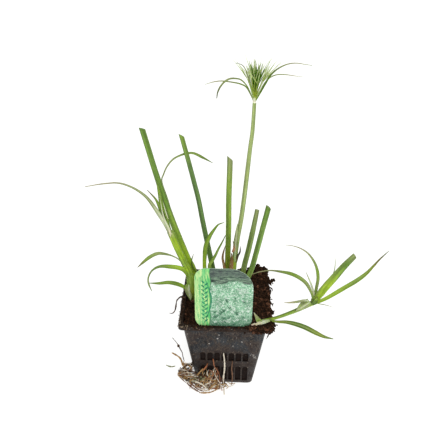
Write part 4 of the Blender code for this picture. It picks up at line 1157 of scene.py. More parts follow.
# Each blade: its node or name, its tissue, its width, how it widens, folds and turns, and its route.
# Those with a name of their own are small leaves too fine for the solids.
LEFT_BLADES = (
    ("left_leaf_long", "grey_sedge_blade", 3.8, {"spread": (0.5, 0.9, 1, 0.75, 0.5, 0.38, 0.3, 0.12)},
     [(-53, -3.5, 172), (-56.3, -5, 186), (-63.9, -6.5, 203.5), (-71.3, -8, 217.5), (-79.8, -9.5, 226.3),
      (-89, -10.5, 231.6), (-96.5, -11.5, 233.6), (-103, -12, 233.3), (-112, -12, 232), (-124, -12, 229.5)]),
    ("left_leaf_dark", "dark_folded_blade", 3.8, {"spread": (0.2, 0.3, 0.8, 1, 0.7, 0.4, 0.1)},
     [(-54.3, -1.5, 171), (-57.5, -3.5, 191.5), (-60, -4, 200.5), (-62, -4.5, 208), (-64.5, -5, 215),
      (-71, -6, 224.5)]),
    ("left_leaf_upright", "fresh_sedge_blade", 4.8,
     {"face": FACE_FRONT, "spread": (0.5, 0.8, 1, 0.95, 0.8, 0.55, 0.1)},
     [(-52.5, 0, 171), (-57, 0.5, 190), (-60, 0.2, 206), (-61, -0.3, 217), (-63, -1, 232)]),
    ("left_leaf_pale", "bleached_sedge_blade", 2.2,
     {"face": FACE_FRONT, "spread": (1, 1, 0.8, 0.6, 0.4, 0.3, 0.1)},
     [(-52, -4.5, 174), (-54, -6, 184.5), (-57, -7.5, 195.5), (-58.5, -8.5, 205.5), (-59.5, -9.5, 222)]),
    ("left_leaf_arched", "grey_green_blade", 2.6,
     {"face": FACE_FRONT, "spread": (0.5, 0.5, 0.45, 0.45, 0.45, 0.5, 0.6, 0.8, 1, 0.1)},
     [(-49, 9, 170), (-56, 13, 203), (-61, 15, 221.5), (-59, 16, 229.5), (-55.5, 17.5, 236.8),
      (-50.5, 21, 242), (-44.5, 25, 244.2), (-38.5, 29, 244.7), (-32, 31, 244), (-24, 34, 238.5),
      (-14.5, 36, 232)]),
    ("left_base_leaf_upper", "grey_blade_pale_ribbed", 4.6,
     {"spread": (0.2, 0.2, 0.22, 0.25, 0.3, 0.55, 0.75, 0.75, 0.55, 0.08)},
     [(-37.5, 1, 126), (-39.5, 0.5, 133.5), (-44.2, -0.5, 141), (-48.5, -2, 147), (-54.5, -4, 151.8),
      (-60.5, -7, 155.5), (-65.5, -9, 157), (-71.2, -11, 155.3), (-77, -12, 151), (-85.3, -14, 143.5)]),
    ("left_base_leaf_middle", "fresh_blade_with_dark_margins", 4.4,
     {"spread": (0.8, 1, 1, 1, 0.9, 0.6, 0.38, 0.35, 0.4, 0.1)},
     [(-36, 0, 121), (-41.5, -5, 134.5), (-47, -6.5, 138.5), (-54.5, -9, 141.5), (-62.5, -12, 144),
      (-68, -14.5, 143.5), (-72.5, -16, 139.5), (-75, -17.5, 133.5), (-75, -18, 126.5), (-72.5, -19, 118.5)]),
    ("left_base_leaf_lower", "grown_sedge_blade", 4.2,
     {"spread": (0.7, 0.8, 0.95, 1, 0.85, 0.6, 0.12)},
     [(-36.5, 1.5, 100), (-39.5, 0.5, 105.5), (-44.5, -2, 111.5), (-50, -7, 118.5), (-57, -12, 124),
      (-65, -16.5, 126.5), (-74, -20, 129.5)]),
    ("left_base_sheath", "green_membrane_sheath", 9.5,
     {"face": FACE_FRONT, "fold": -0.4, "spread": (0.6, 1, 0.95, 0.75, 0.45, 0.08)},
     [(-37.5, -2.6, 114), (-37.5, -3.2, 104.5), (-36, -5.2, 95.5)]),
    ("left_foot_bract", "dark_folded_blade", 1.6, {"face": FACE_FRONT},
     [(-30.5, 4, 125.5), (-34, 4, 133), (-34.5, 4, 140.5), (-32.5, 4, 148)]),
    ("left_white_fibre", "bleached_sedge_blade", 1.0, {"face": FACE_FRONT},
     [(-54, -5, 194), (-56, -6, 204), (-57.5, -6.5, 213.5)]),
)
MIDDLE_BLADES = (
    ("middle_leaf_left", "grown_blade_pale_ribbed", 4.6,
     {"face": FACE_FRONT, "spread": (0.7, 0.8, 0.85, 0.8, 1, 0.95, 0.6, 0.1)},
     [(-20, 9, 92.5), (-22, 8, 128), (-21.5, 6.5, 145.5), (-20, 5, 158.5), (-16.5, 4, 169.5),
      (-12.5, 3, 177.5), (-8, 3, 184), (-2.5, 3, 186.5)]),
    ("middle_leaf_right", "grown_sedge_blade", 4.2,
     {"face": FACE_FRONT, "spread": (0.6, 0.8, 1, 0.95, 0.8, 0.6, 0.4, 0.15)},
     [(-12, 12, 94.2), (-17, 9.5, 127), (-14.5, 11.5, 134.5), (-11, 13.5, 141), (-8, 17, 146.5),
      (-4.5, 20, 152.5), (-1.5, 23, 158.5)]),
    ("dry_strip", "dry_brown_sheath", 3.0, {"face": FACE_FRONT},
     [(1, 18, 97), (-2, 17.5, 121.5), (-4, 18.5, 133), (-3, 18.5, 142), (-1, 18, 150.5)]),
    ("umbel_foot_sheath", "dry_brown_sheath", 6.6,
     {"face": FACE_FRONT, "fold": -0.5, "spread": (1, 1, 1, 0.9, 0.6, 0.1)},
     [(5, 3.4, 97), (5.5, 3, 120), (5.5, 2.6, 143), (5, 2.5, 151.5)]),
    ("umbel_green_sheath", "green_membrane_sheath", 4.5, {"face": FACE_FRONT, "fold": -0.5},
     [(8.5, 3, 140), (8.5, 3, 155), (9, 2.5, 167), (9.5, 2.5, 176.5), (10, 3, 185.5)]),
    ("dry_curl_left", "dry_brown_sheath", 2.6, {"face": FACE_FRONT, "twist": 1.2},
     [(6, 2, 153), (7.5, 3, 158.5), (6, 4, 165)]),
    ("dry_curl_right", "dead_black_sheath", 2.4, {"face": FACE_FRONT, "twist": 1.0},
     [(10, 4, 139.5), (11, 4, 147), (13, 4, 152), (13.5, 4, 159)]),
)
RIGHT_BLADES = (
    ("right_leaf_long", "fresh_blade_dark_tipped", 3.8,
     {"spread": (0.6, 0.8, 0.95, 1, 1, 0.9, 0.6, 0.35, 0.1)},
     [(82, -30, 118.3), (86.5, -31, 121), (94.7, -33, 128.9), (102.3, -33.5, 136.3), (109.8, -34.5, 144.3),
      (117.5, -35.5, 152.5), (124, -36.5, 161.5), (129, -37, 171), (133, -37, 178.5), (138.7, -37, 187)]),
    ("right_leaf_arched", "straw_tipped_blade", 3.0,
     {"face": FACE_FRONT, "spread": (0.8, 1, 1, 0.95, 0.8, 0.6, 0.4, 0.25, 0.1)},
     [(83.5, -27, 120), (85, -25, 123.5), (86.5, -21, 132), (87, -19, 141.5), (85.3, -16, 150),
      (81.7, -14, 157.5), (75.9, -12, 164.5), (68.5, -10, 168.5), (61.5, -8, 169.5), (55.5, -7, 169.5)]),
    ("right_leaf_over_pot", "straw_tipped_blade", 3.8,
     {"spread": (0.4, 0.6, 0.9, 1, 0.9, 0.6, 0.4, 0.3, 0.25, 0.12)},
     [(82.5, -29.5, 120), (82.3, -29, 126), (79.5, -27.5, 133), (75, -25, 139.5), (68.5, -22, 143.3),
      (61, -18, 144.3), (52, -13, 142.5), (43, -4, 136.4), (34, 3, 128.8), (25.5, 8, 120.8)]),
    ("right_leaf_short", "bleached_sedge_blade", 1.8, {"face": FACE_FRONT},
     [(82, -27, 120), (84, -24.5, 126), (81.5, -20.5, 133.5), (79, -17.5, 138.5), (76, -14, 144)]),
    ("right_leaf_low", "grey_sedge_blade", 2.4, {},
     [(80, -30, 119), (77, -33.5, 125), (73.5, -35.5, 127), (66.5, -38.5, 128), (59.5, -41.5, 129.5),
      (53.5, -44, 131.5)]),
    ("right_leaf_thin", "grey_sedge_blade", 1.8, {},
     [(84, -27.5, 118.5), (93, -21, 121), (97.5, -18, 126), (100.5, -16.5, 130.5), (102, -15, 136)]),
    ("right_leaf_small", "pale_tipped_bract", 0.7, {},
     [(83, -28.5, 119), (86, -30.5, 120), (89.5, -34.5, 122.5), (94.5, -37.5, 124), (100, -40, 124)]),
    ("right_leaf_bottom", "olive_blade_light_ribbed", 4.4,
     {"spread": (0.35, 0.45, 0.6, 0.8, 1, 1, 0.9, 0.6, 0.12)},
     [(43, -33, 101), (46, -38.5, 103), (50.5, -41.5, 105), (58, -45, 108.3), (66, -49, 110),
      (74.3, -52, 109.2), (82.7, -54.5, 106.2), (91.5, -56, 102.5), (100, -58, 102)]),
    ("right_shoot_sheath", "striped_membrane_sheath", 8.5,
     {"face": FACE_FRONT, "fold": -0.45, "spread": (0.1, 0.5, 0.85, 1, 1, 0.9)},
     [(67.5, -34, 113), (73.5, -34, 118), (79.5, -33.5, 123.5)]),
    ("right_foot_bract", "pale_tipped_bract", 5.0, {"face": FACE_FRONT, "spread": (1, 1, 0.8, 0.4, 0.08)},
     [(33.5, -37, 99.5), (32, -38.5, 104), (29.8, -38, 108), (27.5, -37, 111.5)]),
    ("right_heart_leaf", "dark_folded_blade", 4.5, {"face": FACE_FRONT},
     [(82.5, -31, 119), (84.5, -32, 123.5), (86, -32, 129.5)]),
    ("right_foot_sheath", "pink_foot_sheath", 3.4, {"fold": -0.4, "spread": (0.8, 1, 1, 0.9, 0.6)},
     [(25.5, -41, 98), (32, -40, 100.2), (38.5, -38.5, 101.6), (43.5, -36.5, 101.8)]),
    ("right_pale_hair", "bleached_sedge_blade", 0.9, {"face": FACE_FRONT},
     [(99, -20, 141), (101, -19, 150), (101, -18, 158.5), (100, -17, 164.5)]),
)
BRACTS = (
    ("umbel_bract_left_long", "pale_tipped_bract", 1.2, {"spread": (0.6, 1, 1, 1, 0.9, 0.7, 0.2)},
     [(20, 5, 302), (16.5, 9, 308), (13.5, 12, 311.5), (8.5, 15, 313), (1.5, 18, 313.5), (-7, 21, 313.5),
      (-14, 23, 312), (-20.5, 25, 309.5)]),
    ("umbel_bract_left_arched", "dark_tipped_bract", 1.5, {"spread": (0.4, 0.5, 0.6, 0.8, 1, 1, 0.9, 0.3)},
     [(19.5, 3.5, 303), (16, 2, 311.5), (13, 1, 316.5), (9, 1, 320), (5, 0.5, 321), (0.5, -0.5, 321),
      (-3.5, -1.5, 319), (-7, -2.5, 315), (-9, -3, 310.5), (-9.5, -4, 306.5)]),
    ("umbel_bract_left_top", "dark_tipped_bract", 1.0, {"face": FACE_FRONT},
     [(19.5, 0.5, 306), (16, -4.5, 318.5), (13.5, -6.5, 327), (11, -8, 332), (8.5, -8.5, 334),
      (4.5, -9, 335)]),
    ("umbel_bract_right_long", "dark_green_bract", 1.6, {"spread": (0.5, 0.8, 1, 0.9, 0.6, 0.35, 0.12)},
     [(21.5, 3, 303), (25, 1, 310.5), (28, -1.5, 317.5), (31, -3.5, 324), (35.5, -6, 329.5),
      (40.5, -7.5, 333), (45.5, -9, 335), (50.5, -10, 335.5), (55.5, -11, 335), (61, -12, 334.5)]),
    ("umbel_bract_right_low", "pale_tipped_bract", 1.0, {},
     [(22, 5, 304), (25.5, 9, 310.5), (29.5, 12.5, 316), (33.5, 14.5, 319), (39, 18, 320), (46, 20, 319.5),
      (52.5, 23, 318), (60.5, 25.5, 316.5)]),
)
# The record's slots for the leaves that have no node of their own
SLOT_OF_TISSUE = {"dry_brown_sheath": "dry_brown", "dead_black_sheath": "dry_brown",
                  "pink_foot_sheath": "pale_sheath", "bleached_sedge_blade": "pale_sheath"}


def build_stalks(table):
    """The culms or stems of a table."""
    values = settings("shape")
    for name, finish, radii, shape, points in table:
        bm = new_bmesh()
        stalk(bm, points, radii, values.corner, values.rind / MM, **shape)
        piece(bm, name + "_stalk", [tissue(finish), cut_pith()], [name], sharp=60)


def build_blades(table):
    """The blades, sheaths or bracts of a table."""
    thickness = settings("shape").blade
    for name, finish, width, shape, points in table:
        bm = new_bmesh()
        blade(bm, width, points, **shape)
        if name in frame["nodes"]:
            piece(bm, name + "_blade", [tissue(finish)], [name], thickness=thickness)
        else:
            piece(bm, name, [tissue(finish)], slot=SLOT_OF_TISSUE.get(finish, "leaf_green"),
                  thickness=thickness)


# ---------------------------------------------------------------- tuft

NECK = Vector((20.5, 4, 302))
CUP = (1.35, 1.5, 1.9, 4.5)     # radii at the neck, halfway and at the mouth, and its height
HEART_LEAN = (0.02, 0.16)       # radians from the culm's axis: the inmost and outmost upright rays
RIM_LEAN = (0.2, 0.43)          # and the same of the rays that stand out round them
HEART = 0.6                     # how much of the fan's radius the upright rays take up
HEART_RADIUS = 0.5              # radius of one of them, and of one that stands out
RIM_RADIUS = 0.26
GOLDEN_ANGLE = 2.4              # from ray to ray, so that they spread evenly
# The tuft's finishes, by their place among its materials
PALE_RAY, DARK_RAY, CUP_SKIN, DARK_LEAFLET, PALE_LEAFLET, GREEN_RAY = range(6)
HEART_LEAFLETS = (DARK_LEAFLET, DARK_LEAFLET, DARK_LEAFLET, PALE_LEAFLET)


def build_tuft():
    """The rays with their leaflets, fanned out of a small cup; the inner ones stand upright and dark."""
    values = settings("tuft")
    rng = random.Random(11)
    rays = Heap()
    neck, half, mouth, height = CUP
    strand(rays.next(), [NECK - UP * 2, NECK, NECK + UP * height], [neck, neck, half, mouth, mouth], sides=12,
           spacing=0.8, material=CUP_SKIN)
    for i in range(values.rays):
        turn = i * GOLDEN_ANGLE
        share = math.sqrt((i + 0.5) / values.rays)
        outward = Vector((math.cos(turn), math.sin(turn), 0))
        core = share < HEART
        near, far = HEART_LEAN if core else RIM_LEAN
        part = share / HEART if core else (share - HEART) / (1 - HEART)
        lean = near + (far - near) * part + rng.uniform(-0.03, 0.03)
        lean *= 1 + 0.2 * outward.x
        length = values.ray / MM * rng.uniform(0.75, 1.0) * (1.05 - 0.15 * share)
        start = NECK + UP * 0.5 + outward * 0.9 * share
        middle = start + (UP * math.cos(lean * 0.8) + outward * math.sin(lean * 0.8)) * length * 0.5
        tip = start + (UP * math.cos(lean) + outward * math.sin(lean)) * length
        thick = HEART_RADIUS if core else RIM_RADIUS
        pale_foot = not core and abs(outward.x) > 0.75
        strand(rays.next(), [start, middle, tip], [thick, thick, thick * 0.85, thick * 0.5], sides=5,
               material=PALE_RAY if pale_foot else DARK_RAY if core else GREEN_RAY)
        ahead = (tip - middle).normalized()
        for _ in range(2 * values.leaflets if core else values.leaflets - 1):
            swing = Vector((rng.gauss(0, 1), rng.gauss(0, 1), rng.gauss(0, 0.4))) * 0.2
            aim = (ahead + swing).normalized()
            reach = values.leaflet / MM * rng.uniform(0.55, 1.1) * (1.0 if core or outward.x < 0 else 1.25)
            origin = middle.lerp(tip, rng.uniform(0.1 if core else 0.6, 1.0))
            bend = origin + aim * reach * 0.5 + outward * reach * 0.03
            end = origin + aim * reach + outward * reach * 0.14 * share
            wide = rng.uniform(0.45, 0.75)
            look = rng.choice(HEART_LEAFLETS) if core else PALE_LEAFLET
            blade(rays.next(), wide, [origin, bend, end], face=FACE_FRONT, columns=2,
                  spread=(0.8, 1, 0.8, 0.4, 0.1), material=look, tip=0.05)
    foot, heart, outer, hair, cup = [shade("tuft", word)
                                     for word in ("foot", "heart", "outer", "hair", "cup")]
    finishes = [ray_tissue("ray_rind", [cup, hair, hair, outer]),
                ray_tissue("dark_ray_rind", [foot, foot, heart, heart]),
                ray_tissue("ray_cup", [cup, cup, hair]),
                ray_tissue("dark_leaflet", [heart, heart, outer]),
                ray_tissue("pale_leaflet", [outer, hair, hair]),
                ray_tissue("green_ray_rind", [foot, foot, outer, outer])]
    piece(rays.all(), "tuft_rays", finishes, ["umbel_rays"], thickness=0.12 * MM)


# ---------------------------------------------------------------- roots

ROOT_GAP = 0.8          # millimetres from a root's axis to the wall and to the ground
SLOT_DEPTH = 0.3        # how far behind the wall's face a root starts


def outside_pot(point):
    """The point, moved out of the pot's wall and off the ground if it was inside."""
    moved = Vector(point)
    moved.z = max(moved.z, ROOT_GAP)
    clear = wall_half(moved.z) + ROOT_GAP
    if abs(moved.x) < clear and abs(moved.y) < clear:
        if clear - abs(moved.y) <= clear - abs(moved.x):
            moved.y = math.copysign(clear, moved.y)
        else:
            moved.x = math.copysign(clear, moved.x)
    return moved


def at_slot(x, z):
    """A place in the front wall, where a root starts out of a slot."""
    return on_front(x, z, SLOT_DEPTH)


# Each root: its node, its skin, radii from its start to its end, and its route
SINGLE_ROOTS = (
    ("root_white", "cream", [0.6, 0.75, 0.8, 0.85, 0.85, 0.8],
     [at_slot(-0.5, 55), (-0.5, -38, 53.5), (0.5, -38, 42.5), (0.5, -37.5, 29.5), (-0.5, -37.5, 17),
      (0, -41, 7), (1, -46.5, 0.8)]),
    ("root_orange", "rust", [0.5, 0.65, 0.65, 0.6, 0.5, 0.4],
     [at_slot(-11.5, 44.5), (-11, -37.5, 43), (-10, -37.5, 35), (-6, -37.5, 26), (-4.5, -38, 19),
      (-4, -40, 12), (-1.5, -42, 1.5)]),
    ("root_red", "brown", [0.4, 0.6, 0.75, 0.6, 0.4],
     [at_slot(8.5, 42), (8.5, -37.5, 40), (8, -37, 31), (9, -36.5, 19.5), (8.5, -36, 4)]),
    ("root_left", "tan", [0.7, 0.8, 0.9, 0.9, 0.8, 0.7, 0.6],
     [(-55.5, -29, 43.5), (-52, -29.5, 41.5), (-48, -30, 38.5), (-45.5, -30.5, 34.5), (-44, -31, 27),
      (-40, -33, 20.5), (-36, -36, 14.5), (-29, -39, 15)]),
    ("root_dark", "dark", [0.25, 0.3, 0.35, 0.5, 0.5, 0.45, 0.5, 0.4],
     [(-55, -22, 58.5), (-51.5, -22, 52.5), (-48.5, -22.5, 47), (-47, -23, 42.5), (-45, -24, 38.5),
      (-44, -26, 34), (-42.5, -28, 29)]),
    ("root_top_left", "dark", [0.7, 1.1, 0.8, 0.6, 0.9, 0.7, 0.5, 0.3],
     [(-40.5, -7, 100.5), (-45.5, -6.5, 101), (-48.5, -6, 98), (-50.5, -6, 94.5), (-51.5, -6.5, 88),
      (-53, -7, 81.5), (-56, -7, 78), (-59, -7, 78.5)]),
)
# The strands that stand out of the tangle: skin, thickness and route
TANGLE_STRANDS = (
    ("rust", 0.9, [at_slot(-17, 36), (-18.5, -38, 34.5), (-21.5, -38.5, 30), (-23, -38.7, 28)]),
    ("tan", 0.8, [(-21.5, -38.5, 32), (-26, -39, 25.5), (-31.5, -40, 17.5), (-38, -40, 15)]),
    ("moss", 0.7, [(-62, -32, 27.5), (-58.5, -32, 25.5), (-55.5, -32, 25), (-51.5, -32, 26.5)]),
    ("cream", 0.85, [(-38.5, -41, 15.5), (-33.5, -42, 16.5), (-28, -43, 16), (-23, -44, 14), (-19, -45, 10.5),
                     (-16, -45, 7)]),
    ("tan", 0.7, [(-43, -31, 29), (-39.5, -31, 28), (-35.5, -32, 25.5), (-35, -34, 22), (-37.5, -36, 19.5)]),
    ("brown", 0.6, [(-46, -33, 26.5), (-47.5, -35, 21), (-47, -37, 15.5), (-43, -39, 12.5), (-40, -40, 10)]),
    ("cream", 0.6, [(-45, -32, 24), (-46.5, -34, 19), (-44, -36, 15), (-39, -38, 14), (-33, -40, 15.5)]),
    ("tan", 0.9, [(-40, -39, 18), (-34.5, -41, 17), (-28, -43, 14.5)]),
    ("tan", 0.9, [(-43.5, -31, 33), (-41.5, -32, 25), (-37.5, -35, 19), (-33, -38, 17)]),
    ("brown", 0.9, [(-39.5, -42, 13), (-35.5, -43, 9), (-30.5, -44, 5), (-24.5, -45, 1.5)]),
    ("brown", 0.9, [(-38.5, -41, 16), (-33, -43, 11), (-26.5, -45, 6.5), (-20.5, -46, 5)]),
    ("tan", 0.8, [(-26, -46, 2.5), (-19.5, -47, 4), (-14, -46, 4), (-8.5, -45, 6.5), (-5, -43, 8.5)]),
    ("tan", 0.9, [(-16, -46, 6), (-13.5, -45, 10.5), (-9.5, -43, 14), (-5.5, -41, 17)]),
    ("cream", 0.9, [(-24, -45, 8.5), (-19, -46, 6.5), (-14, -45.5, 7)]),
    ("rust", 0.6, [(-20, -40, 22), (-16, -41, 19.5), (-12.5, -40, 21), (-11.5, -39, 27.5),
                   (-15.5, -39, 30.5)]),
    ("tan", 0.6, [(-18, -42, 18.5), (-15, -41, 23.5), (-11.5, -40, 23.5)]),
    ("rust", 0.6, [(-8, -40, 19.5), (-5, -41, 13), (-6, -43, 7.5)]),
    ("rust", 0.6, [(-7.5, -38, 17), (-5.5, -40, 10), (-3.5, -42, 3)]),
    ("cream", 0.5, [(2.5, -38, 12), (5.5, -39, 11), (9, -40, 7)]),
    ("tan", 0.4, [(2, -39, 9.5), (5, -41, 8), (2.5, -42, 4.5)]),
    ("tan", 0.4, [(3.5, -38, 11.5), (8.5, -38, 9), (13, -37, 9)]),
    ("cream", 0.4, [(1, -39, 11), (4, -41, 8), (8, -40, 7.5), (12, -38, 9)]),
    ("dark", 0.35, [(-43.5, -8, 102), (-45.5, -9, 96), (-46, -11, 88.5)]),
)
KNOT = Vector((-48.5, -22.5, 47))       # a dead knot on the dark root
KNOT_LUMPS = 4
KNOT_RADIUS = 1.3
SKINS = ("tan", "cream", "rust", "brown", "dark", "moss")
# How often a root has each skin: at the wall, where most are dark as painted shade, and in the open tangle
WALL_SHARES = (0, 0, 1, 2, 12, 0)
OPEN_SHARES = (5, 6, 2, 2, 4, 1)
# Where these two kinds hang, along Y
WALL_DEPTH = -38.0
OPEN_DEPTH = -41.5


def tangled_route(rng, i, near_wall):
    """A random root of the tangle: down the pot's left corner, out of a front slot, or coiled in its middle.

    The tangle hangs like a net: its underside rises from the ground at the middle to the corner's height.
    """
    near = rng.gauss
    depth = WALL_DEPTH if near_wall else OPEN_DEPTH
    if i % 10 == 0:
        points = [(-33, rng.uniform(-30, -20), rng.uniform(12, 26)),
                  (near(-41, 2), near(-31, 1.5), rng.uniform(14, 31)),
                  (near(-44, 1.5), near(-34, 1.5), near(18, 2)),
                  (near(-36, 3), near(-39, 1.2), near(13, 2)),
                  (near(-24, 5), near(-43, 1.5), near(8, 2.5))]
    elif i % 6 == 1:
        x, z = rng.uniform(-27, -6), rng.uniform(14, 30)
        points = [at_slot(x, z), (x + near(0, 2), near(-38, 0.7), z - rng.uniform(2, 7)),
                  (x + near(-1, 4), near(depth, 1.2), near(10, 3)),
                  (x + near(-1, 6), near(depth, 1.5), near(5, 2))]
    else:
        x = rng.uniform(-42, -4)
        floor = max(4.0, -(x + 22))
        top = floor + 14 + 6 * math.sin((x + 42) / 38 * math.pi)
        swirl = rng.uniform(0, 2 * math.pi)
        wide, tall = rng.uniform(3, 9), (top - floor) / 2 * rng.uniform(0.3, 0.9)
        centre = (top + floor) / 2 - 1
        points = []
        for step in range(5):
            angle = swirl + step * rng.uniform(0.5, 1.1)
            points.append((x + wide * math.cos(angle), near(depth, 1.2), centre + tall * math.sin(angle)))
    return [outside_pot(point) if step else point for step, point in enumerate(points)]


def build_roots():
    """Single roots along the pot, and the tangle in front of its lower left corner."""
    finishes = {word: root_tissue("root_skin_" + word, word, 0.35 if word in ("cream", "moss") else 0.7)
                for word in SKINS}
    for name, word, radii, points in SINGLE_ROOTS:
        bm = new_bmesh()
        strand(bm, points, radii, sides=8, spacing=0.8, rough=0.5)
        piece(bm, name + "_strand", [finishes[word]], [name])

    rng = random.Random(29)
    tangle = Heap()
    for word, thick, points in TANGLE_STRANDS:
        strand(tangle.next(), points, [thick * 0.7, thick, thick * 0.9, thick * 0.5], sides=7, spacing=0.9,
               rough=0.6, material=SKINS.index(word))
    for _ in range(KNOT_LUMPS):
        away = Vector((rng.gauss(0, 0.4), rng.gauss(0, 0.3), rng.gauss(0, 0.4)))
        lump(tangle.next(), KNOT + away, KNOT_RADIUS, rng, 2, SKINS.index("dark"))
    for i in range(settings("roots").fibres):
        near_wall = i % 3 == 0
        points = tangled_route(rng, i, near_wall)
        thick = rng.choice((0.2, 0.3, 0.4, 0.5, 0.65))
        # At the wall most roots take the dark skin, as painted shade behind the tangle
        shares = WALL_SHARES if near_wall and i % 10 else OPEN_SHARES
        strand(tangle.next(), points, [thick * 0.6, thick, thick, thick * 0.8, thick * 0.4], sides=5,
               rough=0.6, material=rng.choices(range(len(SKINS)), shares)[0])
    piece(tangle.all(), "root_tangle", list(finishes.values()), ["root_mat"])


# ---------------------------------------------------------------- stage

CAMERA_PLACE = (0.005, -0.354, 0.4135)
SENSOR = 36.0                           # its width in millimetres
CLIP = (0.01, 100.0)                    # the nearest and the farthest that the camera sees, in metres
FLOOR_HALF = 15.0                       # metres
FLOOR_LEVEL = -0.2 * MM                 # just under the pot, so that the two don't flicker
SUN_TILT = math.radians(38)
SUN_TURN = math.radians(12)
SUN_SOFTNESS = math.radians(25)


def build_stage():
    """Camera as in the photograph, pale floor, soft light from the front, a little from the right."""
    values = settings("stage")
    camera = placed("camera", bpy.data.cameras.new("camera"))
    camera.data.sensor_width = SENSOR
    camera.data.lens = values.lens
    camera.data.clip_start, camera.data.clip_end = CLIP
    camera.location = CAMERA_PLACE
    camera.rotation_euler = (math.pi / 2 - values.pitch, 0, values.turn)
    bpy.context.scene.camera = camera

    bm = bmesh.new()
    bmesh.ops.create_grid(bm, x_segments=1, y_segments=1, size=FLOOR_HALF)
    floor = placed("floor", mesh_of(bm, "floor"))
    floor.location.z = FLOOR_LEVEL
    paper, tree, shader = blank("studio_paper", 0.9, 0.2)
    solid = node(tree, "ShaderNodeTexCoord", out="Object")
    sheet = toned(tree, shade("stage", "floor"), solid, per_mm(0.04), 0.995, 1.0)
    grained(tree, shader, sheet, solid, per_mm(0.5), 0.02, 0.05)
    tree.links.new(sheet, shader.inputs["Emission Color"])
    shader.inputs["Emission Strength"].default_value = values.glow
    floor.data.materials.append(paper)

    world = bpy.data.worlds.new("studio")
    bpy.context.scene.world = world
    world.use_nodes = True
    sky = world.node_tree.nodes["Background"]
    sky.inputs["Color"].default_value = (1, 1, 1, 1)
    sky.inputs["Strength"].default_value = values.sky

    light = bpy.data.lights.new("sun", "SUN")
    light.energy = values.sun
    light.angle = SUN_SOFTNESS
    sun = placed("sun", light)
    sun.rotation_euler = (SUN_TILT, 0, SUN_TURN)
    bpy.context.scene.view_settings.view_transform = "Standard"
    bpy.context.scene.view_settings.look = "None"


# ---------------------------------------------------------------- add-on

class PAPYRUS_OT_pot(bpy.types.Operator):
    """Build the black pot around its CAD shape"""

    bl_idname = "papyrus.pot"
    bl_label = "Pot"

    def execute(self, context):
        build_pot()
        return {"FINISHED"}


class PAPYRUS_OT_peat(bpy.types.Operator):
    """Build the peat with its crumbs, fibres and overhanging clumps"""

    bl_idname = "papyrus.peat"
    bl_label = "Peat"

    def execute(self, context):
        build_peat()
        return {"FINISHED"}


class PAPYRUS_OT_label(bpy.types.Operator):
    """Build the plant label and its print"""

    bl_idname = "papyrus.label"
    bl_label = "Label"

    def execute(self, context):
        build_label()
        return {"FINISHED"}


class PAPYRUS_OT_culms(bpy.types.Operator):
    """Build the six culms with their cut ends"""

    bl_idname = "papyrus.culms"
    bl_label = "Culms"

    def execute(self, context):
        build_stalks(CULMS)
        return {"FINISHED"}


class PAPYRUS_OT_side_stems(bpy.types.Operator):
    """Build the stems of the two side shoots"""

    bl_idname = "papyrus.side_stems"
    bl_label = "Side stems"

    def execute(self, context):
        build_stalks(SIDE_STEMS)
        return {"FINISHED"}


class PAPYRUS_OT_left_blades(bpy.types.Operator):
    """Build the blades and the sheath of the left shoot"""

    bl_idname = "papyrus.left_blades"
    bl_label = "Left blades"

    def execute(self, context):
        build_blades(LEFT_BLADES)
        return {"FINISHED"}


class PAPYRUS_OT_middle_blades(bpy.types.Operator):
    """Build the blades and dry sheaths at the feet of the middle culms"""

    bl_idname = "papyrus.middle_blades"
    bl_label = "Middle blades"

    def execute(self, context):
        build_blades(MIDDLE_BLADES)
        return {"FINISHED"}


class PAPYRUS_OT_right_blades(bpy.types.Operator):
    """Build the blades, sheath and bract of the right shoot"""

    bl_idname = "papyrus.right_blades"
    bl_label = "Right blades"

    def execute(self, context):
        build_blades(RIGHT_BLADES)
        return {"FINISHED"}


class PAPYRUS_OT_tuft(bpy.types.Operator):
    """Build the tuft of rays and the bracts below it"""

    bl_idname = "papyrus.tuft"
    bl_label = "Tuft"

    def execute(self, context):
        build_tuft()
        build_blades(BRACTS)
        return {"FINISHED"}


class PAPYRUS_OT_roots(bpy.types.Operator):
    """Build the roots that hang out of the pot"""

    bl_idname = "papyrus.roots"
    bl_label = "Roots"

    def execute(self, context):
        build_roots()
        return {"FINISHED"}


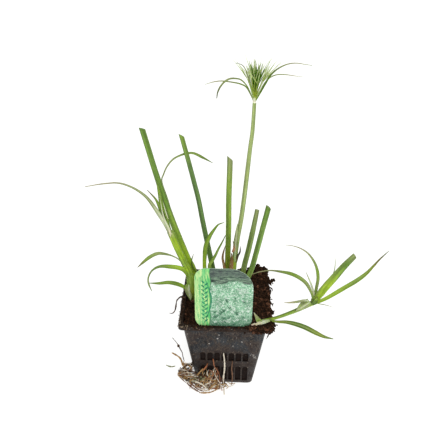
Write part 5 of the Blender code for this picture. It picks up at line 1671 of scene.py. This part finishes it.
class PAPYRUS_OT_stage(bpy.types.Operator):
    """Set up the camera, the floor and the lights"""

    bl_idname = "papyrus.stage"
    bl_label = "Stage"

    def execute(self, context):
        build_stage()
        return {"FINISHED"}


OPERATORS = (PAPYRUS_OT_pot, PAPYRUS_OT_peat, PAPYRUS_OT_label, PAPYRUS_OT_culms, PAPYRUS_OT_side_stems,
             PAPYRUS_OT_left_blades, PAPYRUS_OT_middle_blades, PAPYRUS_OT_right_blades, PAPYRUS_OT_tuft,
             PAPYRUS_OT_roots, PAPYRUS_OT_stage)


class PAPYRUS_PT_panel(bpy.types.Panel):
    """Lists the operators in the order in which they build the plant"""

    bl_idname = "PAPYRUS_PT_panel"
    bl_label = "Potted Papyrus"
    bl_space_type = "VIEW_3D"
    bl_region_type = "UI"
    bl_category = "Papyrus"

    def draw(self, context):
        for operator in OPERATORS:
            self.layout.operator(operator.bl_idname)
        for group in GROUPS:
            box = self.layout.box()
            box.label(text=group.capitalize())
            values = settings(group)
            for name in values.bl_rna.properties.keys():
                if name not in ("rna_type", "name"):
                    box.prop(values, name)


def register():
    """Add the settings, the operators and the panel to Blender."""
    for group, kind in GROUPS.items():
        bpy.utils.register_class(kind)
        setattr(bpy.types.Scene, "papyrus_" + group, PointerProperty(type=kind))
    for kind in OPERATORS + (PAPYRUS_PT_panel,):
        bpy.utils.register_class(kind)


def unregister():
    """Take them away again, in the reverse order."""
    for kind in (PAPYRUS_PT_panel,) + OPERATORS[::-1]:
        bpy.utils.unregister_class(kind)
    for group, kind in GROUPS.items():
        delattr(bpy.types.Scene, "papyrus_" + group)
        bpy.utils.unregister_class(kind)


def main():
    """Build the whole plant."""
    register()
    bpy.ops.papyrus.pot()
    bpy.ops.papyrus.peat()
    bpy.ops.papyrus.label()
    bpy.ops.papyrus.culms()
    bpy.ops.papyrus.side_stems()
    bpy.ops.papyrus.left_blades()
    bpy.ops.papyrus.middle_blades()
    bpy.ops.papyrus.right_blades()
    bpy.ops.papyrus.tuft()
    bpy.ops.papyrus.roots()
    bpy.ops.papyrus.stage()


if __name__ == "__main__":
    main()
